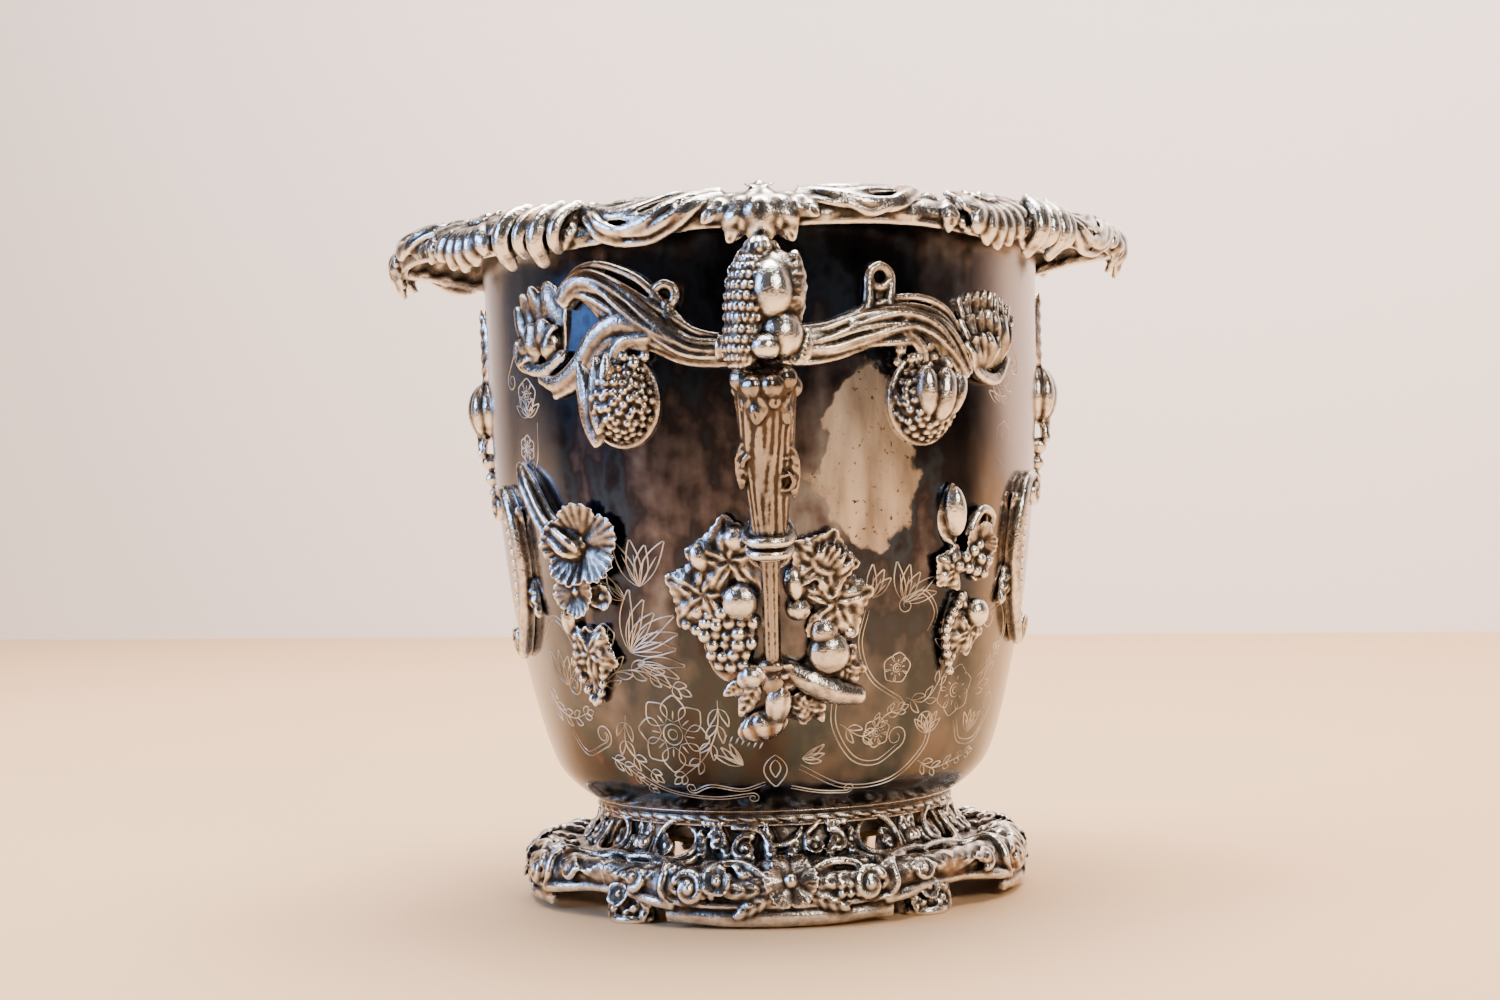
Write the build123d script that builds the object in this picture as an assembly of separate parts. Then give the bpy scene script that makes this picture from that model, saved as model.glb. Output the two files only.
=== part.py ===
"""Footed champagne bucket in silver-plated copper, with cast handles, border, foot and mounts.

Row frame: millimetres, +Z up, origin at the centre of the bottom, on the table. The two handles
stand at -Y (front) and +Y (back). The two cartouches face -X (left) and +X (right).
Every casting is its own solid. The castings that are soldered to the spun bowl are cut back to
the bowl's surface, so they meet it face to face.
"""

from build123d import *
from math import atan2, cos, degrees, hypot, pi, radians, sin
import os

# Driving dimensions
HEIGHT = 254.0  # table to the top of the border
BORDER_RADIUS = 137.0  # outer reach of the cast border
FOOT_RADIUS = 93.0  # outer reach of the foot's four lobes
FOOT_HEIGHT = 34.0  # table to the underside of the bowl
WALL = 1.5  # thickness of the spun bowl
MOUTH_RADIUS = 105.0  # outside of the bowl at its top edge
BOWL_TOP = 243.0  # height of the bowl's top edge
SECTIONS = 4  # the border and the foot are each cast in quarters

# Outside of the bowl as (radius, height), from the flat bottom to the top edge
BOWL_OUTLINE = [
    (60.0, FOOT_HEIGHT),
    (69.0, 38.0),
    (76.5, 44.0),
    (81.5, 51.0),
    (86.0, 64.0),
    (91.0, 84.0),
    (96.0, 108.0),
    (100.5, 145.0),
    (103.0, 185.0),
    (103.6, 220.0),
    (MOUTH_RADIUS, BOWL_TOP),
]

# Border: its edge dips in between the rosettes over the handles and cartouches and the shells
DIP_DEPTH, DIP_RADIUS = 6.0, 26.0
SECTION_SHIFT = 22.5  # the border's joints lie in the dips, not through a shell

# Foot
COLLAR_INNER, COLLAR_OUTER = 57.0, 66.0
COLLAR_LOW = 29.0
LOBES = 4
# One side of a lobe's outline as (degrees from its middle, radius), out to the corner
LOBE_OUTLINE = [(0, FOOT_RADIUS), (12, FOOT_RADIUS), (20, 92.5), (25, 91), (29, 86), (33, 81), (39, 79)]
CORNER_RADIUS = 78.5
# Section of the foot's shell from the collar over the rolled lip to the table, and back inside
FOOT_OUTSIDE = [(63, 29), (69, 23), (75, 20.5), (80, 21), (85.5, 23), (90, 21), (92.5, 15), (93, 5), (92, 0)]
FOOT_INSIDE = [(88, 0), (88.5, 12), (85.5, 18.3), (80, 17), (74, 16.8), (65, 22)]
PIERCING_ANGLE = 31.5  # from the middle of a lobe to its scroll piercing
PIERCING_RADIUS, PIERCING_HEIGHT = 6.0, 25.0
PIERCING_REACH = 36.0  # how far the piercing's drill goes, short of the rolled lip
LEAF_FOOT_ANGLE = 38.0  # from the front and the back, beside the ends of their lobes
LEAF_FOOT_PLACE = 79.0  # distance of a leaf foot from the axis
LEAF_FOOT_HALF = (9.0, 11.5)  # half width, half height
LEAF_FOOT_RISE = 8.0  # height of its middle
PLATE_RADIUS, PLATE_LOW, PLATE_THICK = 56.5, 24.0, 2.0
STUD_RADIUS, STUD_LOW = 3.0, 14.0
STUD_CLEARANCE = 0.3
FLANGE_RADIUS, FLANGE_THICK = 12.0, 2.0  # where the stud is soldered to the bowl
NUT_ACROSS, NUT_THICK = 10.0, 5.0
WASHER_RADIUS, WASHER_THICK = 8.0, 1.2

# Handle, as (distance from the axis, height, radius of the round section)
HORN = [(113.5, 134.0, 6.2), (123.0, 150.0, 7.8), (133.5, 168.0, 9.6), (139.0, 186.0, 11.3)]
FRUIT_PLACE, FRUIT_LOW, FRUIT_TOP = 139.0, 187.5, 230.0
FRUIT_OUTLINE = [(9.0, 0.0), (13.2, 9.0), (13.0, 22.0), (8.5, 34.0), (2.5, 41.5)]
BRIDGE_HEIGHT, BRIDGE_RADIUS = 203.0, 6.0
STEM = [(112.3, 131.2, 3.6), (106.5, 120.0, 3.3), (101.5, 108.0, 3.2), (98.0, 94.0, 3.0)]
RING_RADIUS, RING_THICK = 8.2, 3.4
ARM_THICK = 6.0  # how far a branch stands off the bowl

# Each branch as points of (distance round, height) from its middle, on a plane square to its radius
LEFT_ARM = [(24.5, -10.0), (10.0, -6.0), (-2.0, 1.0), (-13.0, 9.5), (-25.0, 13.0)]
RIGHT_ARM = [(-23.0, -9.5), (-8.0, -6.0), (5.0, 0.0), (17.0, 1.5), (27.0, -4.0)]
# Where the parts of a branch lie on the bowl, as (angle, height)
ARM_MIDDLE = {"left": (-20.0, 206.0), "right": (24.0, 205.0)}
FAN_LEAF = {"left": (-46.0, 211.0), "right": (47.0, 203.0)}
HUNG_FRUIT = {"left": (-27.5, 183.0), "right": (30.0, 179.0)}
HUNG_TILT = {"left": 9.0, "right": -9.0}
ARM_WIDTH = 8.0
FAN_RADIUS, FAN_THICK = 15.0, 5.0
HUNG_HALF = (13.5, 16.5)  # half width, half height
VINE_LEAF_THICK = 5.0

# A cartouche's front scroll as points of (distance round, height) from its middle
SCROLL = [(3.0, 27.0), (-8.0, 22.0), (-11.0, 5.0), (-8.0, -14.0), (4.0, -27.0)]
SCROLL_ANGLE, SCROLL_HEIGHT = 68.0, 122.0
SCROLL_WIDTH, SCROLL_THICK = 9.0, 5.0
SPRAY_ANGLE, SPRAY_HEIGHT = 42.0, 119.0
SPRAY_HALF, SPRAY_THICK = (12.5, 29.0), 6.0
DROP_HEIGHT, DROP_HALF = 184.0, (11.0, 17.0)

Z_UP = Vector(0, 0, 1)
STANDING = (Align.CENTER, Align.CENTER, Align.MIN)


def at_angle(angle, radius, height):
    """A point at an angle round the bucket, counted from -Y towards +X."""
    return Vector(radius * sin(radians(angle)), -radius * cos(radians(angle)), height)


def offset_outline(distance):
    """The bowl's outline moved outwards along its own normal."""
    moved = []
    for i, (radius, height) in enumerate(BOWL_OUTLINE):
        before = BOWL_OUTLINE[max(i - 1, 0)]
        after = BOWL_OUTLINE[min(i + 1, len(BOWL_OUTLINE) - 1)]
        run, rise = after[0] - before[0], after[1] - before[1]
        length = hypot(run, rise)
        moved.append((radius + distance * rise / length, height - distance * run / length))
    return moved


def bowl_radius(height):
    """Outside radius of the bowl at a height, between the outline's points."""
    for (r0, z0), (r1, z1) in zip(BOWL_OUTLINE, BOWL_OUTLINE[1:]):
        if z0 <= height <= z1:
            return r0 + (r1 - r0) * (height - z0) / (z1 - z0)
    return MOUTH_RADIUS


def turned(outline, arc=360.0):
    """A closed outline of (radius, height) points, joined by straight lines, turned about Z."""
    with BuildPart() as part:
        with BuildSketch(Plane.XZ):
            with BuildLine():
                Polyline(*outline, close=True)
            make_face()
        revolve(axis=Axis.Z, revolution_arc=arc)
    return part.part


def bowl_solid(distance, top=BOWL_TOP):
    """The space inside the bowl's outside surface, moved outwards by a distance."""
    points = offset_outline(distance)
    points[0] = (points[0][0], FOOT_HEIGHT - distance)
    points[-1] = (points[-1][0], top)
    with BuildPart() as part:
        with BuildSketch(Plane.XZ):
            with BuildLine():
                Line((0, top), (0, points[0][1]))
                Line((0, points[0][1]), points[0])
                Spline(*points)
                Line(points[-1], (0, top))
            make_face()
        revolve(axis=Axis.Z)
    return part.part


BOWL = bowl_solid(0.0)


def bowl_shell():
    """The spun bowl, open at the top."""
    return BOWL - bowl_solid(-WALL, top=BOWL_TOP + 1.0)


def tangent_plane(angle, height, radius=0.0):
    """A plane square to the radius at an angle, its X round the bucket and its Y up."""
    outward = at_angle(angle, 1.0, 0.0)
    return Plane(origin=at_angle(angle, radius, height), x_dir=Z_UP.cross(outward), z_dir=outward)


def solid_of(shape):
    """The largest solid of a cut shape, as a part."""
    return Part() + max(shape.solids(), key=lambda s: s.volume)


def applied(outline, angle, height, thick):
    """A casting of even thickness that lies on the bowl inside an outline drawn square to a radius.

    The outline is a face in a local plane, its X round the bucket and its Y up.
    """
    plane = tangent_plane(angle, height, MOUTH_RADIUS / 2)
    prism = extrude(plane * outline, amount=MOUTH_RADIUS)
    return solid_of((prism & bowl_solid(thick)) - BOWL)


def band(points, width):
    """A flat face that follows a smooth line at an even width."""
    path = Spline(*points)
    return trace(path, width)


def spheroid(half_width, half_height):
    """A spheroid about Z, centred on the origin."""
    with BuildPart() as part:
        with BuildSketch(Plane.XZ):
            Ellipse(half_width, half_height)
            Rectangle(
                2 * half_width, 4 * half_height, align=(Align.MAX, Align.CENTER), mode=Mode.SUBTRACT
            )
        revolve(axis=Axis.Z)
    return part.part


def fruit_on_bowl(angle, height, half_width, half_height, stand_off, tilt=0.0):
    """A fruit that lies against the bowl, cut flush to it. Its centre stands off the surface."""
    plane = tangent_plane(angle, height, bowl_radius(height) + stand_off)
    upright = Rot(0, 0, tilt) * Rot(90, 0, 0) * spheroid(half_width, half_height)
    outside = (plane.location * upright - BOWL).solids()
    return Part() + max(outside, key=lambda s: hypot(s.center().X, s.center().Y))


def tapered_tube(stations):
    """A round tube through stations of (distance, height, radius), in the plane of the front handle."""
    sections = []
    for i, (distance, height, radius) in enumerate(stations):
        before, after = stations[max(i - 1, 0)], stations[min(i + 1, len(stations) - 1)]
        direction = Vector(0, before[0] - after[0], after[1] - before[1])
        sections.append(Plane(origin=(0, -distance, height), z_dir=direction) * Circle(radius))
    return Part() + loft(sections)


def border_section(middle):
    """A quarter of the border about one angle: a crowned flange, dipped in at the middle and both ends."""
    arc = 360.0 / SECTIONS
    flange = turned(
        [
            (MOUTH_RADIUS - 4.0, BOWL_TOP),
            (MOUTH_RADIUS + 3.0, BOWL_TOP),
            (MOUTH_RADIUS + 10.0, BOWL_TOP + 4.0),
            (BORDER_RADIUS - 14.0, BOWL_TOP + 3.0),
            (BORDER_RADIUS - 2.0, BOWL_TOP - 9.0),
            (BORDER_RADIUS, BOWL_TOP - 5.0),
            (BORDER_RADIUS - 7.0, BOWL_TOP + 4.0),
            (BORDER_RADIUS - 14.0, HEIGHT - 2.0),
            (MOUTH_RADIUS + 12.0, HEIGHT),
            (MOUTH_RADIUS + 4.0, HEIGHT - 3.0),
            (MOUTH_RADIUS - 4.0, BOWL_TOP + 3.0),
        ],
        arc,
    )
    flange = Rot(0, 0, middle - 90.0 - arc / 2) * flange
    for side in (-1, 0, 1):
        place = at_angle(middle + side * arc / 2, BORDER_RADIUS - DIP_DEPTH + DIP_RADIUS, BOWL_TOP)
        flange = flange - Pos(*place) * Cylinder(DIP_RADIUS, 60.0)
    return solid_of(flange)


def quarter(shape, middle):
    """The quarter of a ring about one angle."""
    reach = 2 * BORDER_RADIUS
    with BuildSketch() as wedge:
        with BuildLine():
            Polyline((0, 0), at_angle(middle - 45, reach, 0), at_angle(middle + 45, reach, 0), close=True)
        make_face()
    return solid_of(shape & extrude(wedge.sketch, amount=HEIGHT + 10.0))


def foot_ring():
    """The whole openwork foot: a flared shell on four lobes, pierced beside each corner."""
    shell = turned(
        [(COLLAR_INNER, COLLAR_LOW)] + FOOT_OUTSIDE + FOOT_INSIDE + [(COLLAR_INNER, COLLAR_LOW - 3.0)]
    )
    points = []
    for lobe in range(LOBES):
        middle = lobe * 360.0 / LOBES
        points += [at_angle(middle - turn, radius, 0) for turn, radius in LOBE_OUTLINE[:0:-1]]
        points += [at_angle(middle + turn, radius, 0) for turn, radius in LOBE_OUTLINE]
        points.append(at_angle(middle + 180.0 / LOBES, CORNER_RADIUS, 0))
    with BuildSketch() as outline:
        with BuildLine():
            Spline(*points, periodic=True)
        make_face()
    shell = shell & extrude(outline.sketch, amount=FOOT_HEIGHT)
    for lobe in range(LOBES):
        for side in (-1, 1):
            angle = lobe * 360.0 / LOBES + side * PIERCING_ANGLE
            start = tangent_plane(angle, PIERCING_HEIGHT, COLLAR_INNER - 15.0)
            shell = shell - extrude(start * Circle(PIERCING_RADIUS), amount=PIERCING_REACH)
    return shell


def foot_collar():
    """The beaded ring between the bowl and the foot."""
    ring = turned(
        [
            (COLLAR_INNER, COLLAR_LOW),
            (COLLAR_OUTER, COLLAR_LOW),
            (COLLAR_OUTER + 1.5, COLLAR_LOW + 2.0),
            (COLLAR_OUTER, FOOT_HEIGHT + 1.0),
            (COLLAR_OUTER - 1.0, FOOT_HEIGHT + 4.0),
            (COLLAR_INNER, FOOT_HEIGHT + 4.0),
        ]
    )
    return solid_of(ring - BOWL)


def leaf_foot(angle, ring):
    """A small leaf-shaped toe beside the end of a lobe."""
    half_width, half_height = LEAF_FOOT_HALF
    toe = Pos(*at_angle(angle, LEAF_FOOT_PLACE, LEAF_FOOT_RISE)) * spheroid(half_width, half_height)
    above_table = Cylinder(FOOT_RADIUS, FOOT_HEIGHT, align=STANDING)
    return solid_of((toe & above_table) - ring)


def fasteners():
    """The stud soldered under the bowl, and the plate, washer and nut that pull the foot up."""
    shank = Pos(0, 0, STUD_LOW) * Cylinder(STUD_RADIUS, FOOT_HEIGHT - STUD_LOW, align=STANDING)
    flange_low = FOOT_HEIGHT - FLANGE_THICK
    flange = Pos(0, 0, flange_low) * Cylinder(FLANGE_RADIUS, FLANGE_THICK, align=STANDING)
    hole = Cylinder(STUD_RADIUS + STUD_CLEARANCE, HEIGHT)
    plate = turned(
        [
            (0.0, PLATE_LOW),
            (PLATE_RADIUS, PLATE_LOW),
            (PLATE_RADIUS, PLATE_LOW + PLATE_THICK),
            (0.0, PLATE_LOW + PLATE_THICK),
        ]
    )
    washer_low = PLATE_LOW - WASHER_THICK
    washer = Pos(0, 0, washer_low) * Cylinder(WASHER_RADIUS, WASHER_THICK, align=STANDING)
    hexagon = RegularPolygon(NUT_ACROSS / 2, 6, major_radius=False)
    nut = Pos(0, 0, washer_low - NUT_THICK) * extrude(hexagon, amount=NUT_THICK)
    bore = Cylinder(STUD_RADIUS, HEIGHT)
    return {
        "foot_stud": shank + flange,
        "foot_plate": plate - hole,
        "foot_washer": washer - hole,
        "foot_nut": nut - bore,
    }


def front_piece(shape):
    """The solid of a cut shape that lies outside the bowl at the front."""
    outside = [s for s in shape.solids() if s.center().Y < -MOUTH_RADIUS]
    return Part() + max(outside, key=lambda s: s.volume)


def handle():
    """The pieces of the front handle, before it is turned for the back."""
    horn = tapered_tube(HORN)
    stem_tube = tapered_tube(STEM)
    ring_centre = ((HORN[0][0] + STEM[0][0]) / 2, (HORN[0][1] + STEM[0][1]) / 2)
    lean = degrees(atan2(HORN[0][0] - STEM[0][0], HORN[0][1] - STEM[0][1]))
    ring = Pos(0, -ring_centre[0], ring_centre[1]) * Rot(lean, 0, 0) * Cylinder(RING_RADIUS, RING_THICK)
    with BuildPart() as fruit:
        with BuildSketch(Plane.XZ):
            with BuildLine():
                Line((0, 0), FRUIT_OUTLINE[0])
                Spline(*FRUIT_OUTLINE)
                Line(FRUIT_OUTLINE[-1], (0, FRUIT_TOP - FRUIT_LOW))
                Line((0, FRUIT_TOP - FRUIT_LOW), (0, 0))
            make_face()
        revolve(axis=Axis.Z)
    top_fruit = Pos(0, -FRUIT_PLACE, FRUIT_LOW) * fruit.part
    bar = Rot(-90, 0, 0) * Cylinder(BRIDGE_RADIUS, FRUIT_PLACE, align=STANDING)
    bridge = Pos(0, -FRUIT_PLACE, BRIDGE_HEIGHT) * bar
    pieces = {
        "top_fruit": top_fruit,
        "horn": solid_of(horn - top_fruit - ring),
        "ring": ring,
        "stem": solid_of(stem_tube - BOWL - ring),
        "bridge": front_piece(bridge - BOWL - top_fruit),
    }
    pieces.update(branches(pieces["bridge"]))
    pieces.update(vine_cluster(pieces["stem"]))
    return pieces


def branches(bridge):
    """The two arms of the branch, with the fan leaf and the hanging fruit at the end of each."""
    pieces = {}
    for side, points in (("left", LEFT_ARM), ("right", RIGHT_ARM)):
        angle, height = ARM_MIDDLE[side]
        arm = applied(band(points, ARM_WIDTH), angle, height, ARM_THICK)
        angle, height = FAN_LEAF[side]
        leaf = applied(Circle(FAN_RADIUS), angle, height, FAN_THICK)
        angle, height = HUNG_FRUIT[side]
        fruit = fruit_on_bowl(angle, height, *HUNG_HALF, stand_off=0.0, tilt=HUNG_TILT[side])
        arm = solid_of(arm - bridge)
        fruit = solid_of(fruit - arm)
        pieces[side + "_branch"] = arm
        pieces[side + "_fan_leaf"] = solid_of(leaf - arm - fruit)
        pieces[side + "_hanging_fruit"] = fruit
    return pieces


def vine_cluster(stem):
    """Vine leaves, grapes and mixed fruit on the bowl below the handle."""
    left_leaf = applied(Pos(-16.0, -12.0) * Ellipse(17.0, 20.0), 0.0, 131.0, VINE_LEAF_THICK)
    right_leaf = applied(Pos(21.0, -8.0) * Ellipse(13.0, 16.0), 0.0, 126.0, VINE_LEAF_THICK)
    grapes = fruit_on_bowl(-9.5, 95.0, 9.5, 15.0, stand_off=1.5)
    fruit = fruit_on_bowl(8.0, 84.0, 14.0, 18.0, stand_off=0.5, tilt=18.0)
    grapes = solid_of(grapes - stem)
    left_leaf = solid_of(left_leaf - stem - grapes)
    fruit = solid_of(fruit - stem - grapes)
    right_leaf = solid_of(right_leaf - stem - fruit)
    return {
        "left_vine_leaf": left_leaf,
        "right_vine_leaf": right_leaf,
        "grape_bunch": grapes,
        "mixed_fruit": fruit,
    }


def cartouche():
    """The pieces of the right-hand cartouche, before it is turned for the left."""
    pieces = {"drop": fruit_on_bowl(90.0, DROP_HEIGHT, *DROP_HALF, stand_off=-2.0)}
    for name, side in (("front", 1), ("back", -1)):
        outline = band([(side * x, y) for x, y in SCROLL], SCROLL_WIDTH)
        angle = 90.0 - side * (90.0 - SCROLL_ANGLE)
        scroll = applied(outline, angle, SCROLL_HEIGHT, SCROLL_THICK)
        angle = 90.0 - side * (90.0 - SPRAY_ANGLE)
        spray = applied(Ellipse(*SPRAY_HALF), angle, SPRAY_HEIGHT, SPRAY_THICK)
        pieces[name + "_scroll"] = scroll
        pieces[name + "_flower_spray"] = solid_of(spray - scroll)
    return pieces


def build():
    """Every node of the bucket by name."""
    nodes = {"bucket_bowl": bowl_shell(), "foot_collar": foot_collar()}
    foot = foot_ring()
    for middle, side in ((0, "front"), (90, "right"), (180, "back"), (270, "left")):
        nodes["foot_" + side] = quarter(foot, middle)
    corners = ((0, 1, "front_right"), (180, -1, "back_right"), (180, 1, "back_left"), (0, -1, "front_left"))
    for end, hand, corner in corners:
        nodes["border_" + corner] = border_section(end + hand * 45 + SECTION_SHIFT)
        nodes["leaf_foot_" + corner] = leaf_foot(end + hand * LEAF_FOOT_ANGLE, foot)
    nodes.update(fasteners())
    for name, piece in handle().items():
        nodes["front_handle_" + name] = piece
        nodes["back_handle_" + name] = Rot(0, 0, 180) * piece
    turned_name = {"front": "back", "back": "front"}
    for name, piece in cartouche().items():
        side, _, rest = name.partition("_")
        nodes["right_cartouche_" + name] = piece
        left_name = "_".join([turned_name[side], rest]) if rest else name
        nodes["left_cartouche_" + left_name] = Rot(0, 0, 180) * piece
    return nodes


os.makedirs("parts", exist_ok=True)
for node, shape in build().items():
    export_step(shape, os.path.join("parts", node + ".step"))
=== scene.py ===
"""Footed champagne bucket in silver-plated copper: the looks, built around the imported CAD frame.

Each casting is a set of closed surfaces worked out flat, in millimetres, with x to the right, y up
and w out of the plate. A ground (the bowl, the border or the foot) bends them round the bucket,
and one skin is cast over them. Angles count from the front (-Y) towards the right (+X).
"""

import logging
from collections.abc import Callable, Sequence
from dataclasses import dataclass, field
from enum import Enum

import bpy
import numpy as np
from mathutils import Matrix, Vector


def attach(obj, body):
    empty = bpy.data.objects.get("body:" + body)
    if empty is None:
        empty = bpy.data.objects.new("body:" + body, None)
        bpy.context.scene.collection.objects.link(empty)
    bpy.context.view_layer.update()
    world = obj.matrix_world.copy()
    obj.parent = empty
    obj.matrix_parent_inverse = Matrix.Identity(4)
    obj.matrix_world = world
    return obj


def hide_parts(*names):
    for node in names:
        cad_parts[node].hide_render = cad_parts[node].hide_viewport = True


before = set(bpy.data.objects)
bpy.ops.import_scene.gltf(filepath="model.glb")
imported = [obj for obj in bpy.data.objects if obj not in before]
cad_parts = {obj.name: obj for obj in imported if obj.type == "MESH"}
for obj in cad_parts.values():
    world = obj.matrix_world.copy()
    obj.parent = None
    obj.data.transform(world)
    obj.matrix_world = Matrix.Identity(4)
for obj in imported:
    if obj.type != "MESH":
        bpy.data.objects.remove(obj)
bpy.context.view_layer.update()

LOG = logging.getLogger("champagne_bucket")
MM = 0.001  # scene.py works in millimetres, Blender in metres
TAU = 2 * np.pi
SEED = 7
KEPT_SHARE = 0.62  # of the triangles of a casting's skin
BODY = "root"
SUNK = -0.8  # how far a casting's back goes under the bowl's face, in millimetres

Array = np.ndarray
Point = Sequence[float]
Relief = Callable[[Array, Array], Array]
Socket = bpy.types.NodeSocket


class Slot(Enum):
    """The record's material slots."""

    BOWL = "bowl_plate"
    CAST = "cast_plate"
    BARK = "bark_plate"
    BRASS = "brass_fittings"


# ---------------------------------------------------------------------------------------------
# Surfaces
# ---------------------------------------------------------------------------------------------


@dataclass
class Shape:
    """Closed surfaces as points, in millimetres, and triangles that face outwards."""

    points: Array
    faces: Array

    def moved(self, x: float = 0.0, y: float = 0.0, w: float = 0.0) -> "Shape":
        """The shape moved by (x, y, w)."""
        return Shape(self.points + np.array([x, y, w]), self.faces)

    def turned(self, degrees: float, axis: int = 2) -> "Shape":
        """The shape turned about its origin.

        Args:
            degrees: counterclockwise angle, seen from the axis' far end.
            axis: 0, 1 or 2 for x, y or w.

        Returns:
            The turned copy.
        """
        a, b = (axis + 1) % 3, (axis + 2) % 3
        cosine, sine = np.cos(np.radians(degrees)), np.sin(np.radians(degrees))
        points = self.points.copy()
        points[:, a] = cosine * self.points[:, a] - sine * self.points[:, b]
        points[:, b] = sine * self.points[:, a] + cosine * self.points[:, b]
        return Shape(points, self.faces)

    def mirrored(self) -> "Shape":
        """The shape with left and right exchanged, its faces still outwards."""
        return Shape(self.points * np.array([-1.0, 1.0, 1.0]), self.faces[:, ::-1])


def joined(shapes: Sequence[Shape]) -> Shape:
    """Several shapes as one list of points and faces.

    Args:
        shapes: the shapes, in order.

    Returns:
        One shape.
    """
    starts = np.cumsum([0] + [len(s.points) for s in shapes[:-1]])
    return Shape(
        np.vstack([s.points for s in shapes]),
        np.vstack([s.faces + start for s, start in zip(shapes, starts)]),
    )


def rings(grid: Array) -> Shape:
    """Closes a skin over rings of points: neighbours are joined, and each end on its own middle.

    Args:
        grid: rings along the first axis, points round each ring along the second.

    Returns:
        The closed skin, which faces outwards where the rings run anticlockwise about their path.
    """
    count, around = grid.shape[:2]
    i, j = np.meshgrid(np.arange(count - 1), np.arange(around), indexing="ij")
    a, b = i * around + j, i * around + (j + 1) % around
    k = np.arange(around)
    low, high = np.full(around, count * around), np.full(around, count * around + 1)
    last = (count - 1) * around
    faces = np.concatenate(
        [
            np.stack([a, b, b + around], -1).reshape(-1, 3),
            np.stack([a, b + around, a + around], -1).reshape(-1, 3),
            np.stack([low, (k + 1) % around, k], -1),
            np.stack([high, last + k, last + (k + 1) % around], -1),
        ]
    )
    ends = np.stack([grid[0].mean(0), grid[-1].mean(0)])
    return Shape(np.vstack([grid.reshape(-1, 3), ends]), faces)


def slab(x: Array, y: Array, w: Array, thick: float) -> Shape:
    """A plate over a grid of (x, y), its top at w and its underside a thickness below.

    Its first and last rows are closed by a strip between top and underside, so that the plate can
    be bent round the bucket.
    """
    top = np.stack([x, y, w], -1)
    bottom = top - np.array([0.0, 0.0, thick])
    skin = rings(np.concatenate([top, bottom[:, ::-1]], axis=1))
    rows, columns = x.shape
    a = np.arange(columns - 1)
    b, c, d = a + 1, 2 * columns - 2 - a, 2 * columns - 1 - a
    strip = np.concatenate([np.stack([a, b, c], -1), np.stack([a, c, d], -1)])
    sides = skin.faces[: -4 * columns]
    faces = np.concatenate([sides, strip[:, ::-1], strip + (rows - 1) * 2 * columns])
    return Shape(skin.points[:-2], faces)


def smooth_line(points: Sequence[Point], count: int) -> Array:
    """Points along a Catmull-Rom spline through the given ones.

    Each span between two given points is the cubic whose end slopes are half the step between
    their outer neighbours.
    """
    given = np.asarray(points, float)
    padded = np.vstack([2 * given[0] - given[1], given, 2 * given[-1] - given[-2]])
    t = np.linspace(0, len(given) - 1, count)
    i = np.clip(t.astype(int), 0, len(given) - 2)
    f = (t - i)[:, None]
    p0, p1, p2, p3 = (padded[i + k] for k in range(4))
    bend = (2 * p0 - 5 * p1 + 4 * p2 - p3) * f**2 + (3 * p1 - p0 - 3 * p2 + p3) * f**3
    return 0.5 * (2 * p1 + (p2 - p0) * f + bend)


def unit(vectors: Array) -> Array:
    """Vectors scaled to length one."""
    return vectors / np.maximum(np.linalg.norm(vectors, axis=-1, keepdims=True), 1e-9)


def tube(
    path: Sequence[Point],
    radius: Sequence[float],
    up: Point = (0.0, 0.0, 1.0),
    flat: float = 1.0,
    reeds: int = 0,
    depth: float = 0.0,
    cap: float = 1.0,
    pitch: float = 0.8,
) -> Shape:
    """A rod carried along a smooth path, with reeds, and rounded ends.

    The section at turn a is the radius times (cos a, flat sin a), drawn in by depth times
    1 - |cos(reeds a / 2)|, which leaves round reeds between sharp grooves.

    Args:
        path: points that the rod's middle runs through.
        radius: radii spread evenly along the path.
        up: the direction that flat presses on.
        flat: height of the section over its width.
        reeds: how many reeds there are around the rod.
        depth: depth of the grooves as a share of the radius.
        cap: length of the rounded ends as a share of the radius.
        pitch: step along the rod in millimetres.

    Returns:
        The rod's closed skin.
    """
    path = np.asarray(path, float)
    length = np.linalg.norm(np.diff(path, axis=0), axis=1).sum()
    count = max(int(length / pitch), 8)
    line = smooth_line(path, count)
    t = np.linspace(0, 1, count)
    size = np.interp(t, np.linspace(0, 1, len(radius)), radius)
    along = unit(np.gradient(line, axis=0))
    round_off = np.radians([75.0, 50.0, 25.0])
    start = line[0] - np.outer(np.sin(round_off), along[0]) * size[0] * cap
    end = line[-1] + np.outer(np.sin(round_off[::-1]), along[-1]) * size[-1] * cap
    line = np.vstack([start, line, end])
    size = np.concatenate([size[0] * np.cos(round_off), size, size[-1] * np.cos(round_off[::-1])])
    along = np.vstack([np.tile(along[0], (3, 1)), along, np.tile(along[-1], (3, 1))])
    side = unit(np.cross(np.asarray(up, float), along))
    lift = np.cross(along, side)
    around = max(16, 8 * reeds if reeds else int(TAU * max(radius) / pitch))
    turn = np.arange(around) / around * TAU
    groove = 1 - np.abs(np.cos(reeds * turn / 2))
    scale = size[:, None] * (1 - depth * groove)
    across = (scale * np.cos(turn))[..., None] * side[:, None, :]
    upwards = (scale * np.sin(turn) * flat)[..., None] * lift[:, None, :]
    return rings(line[:, None, :] + across + upwards)


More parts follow.
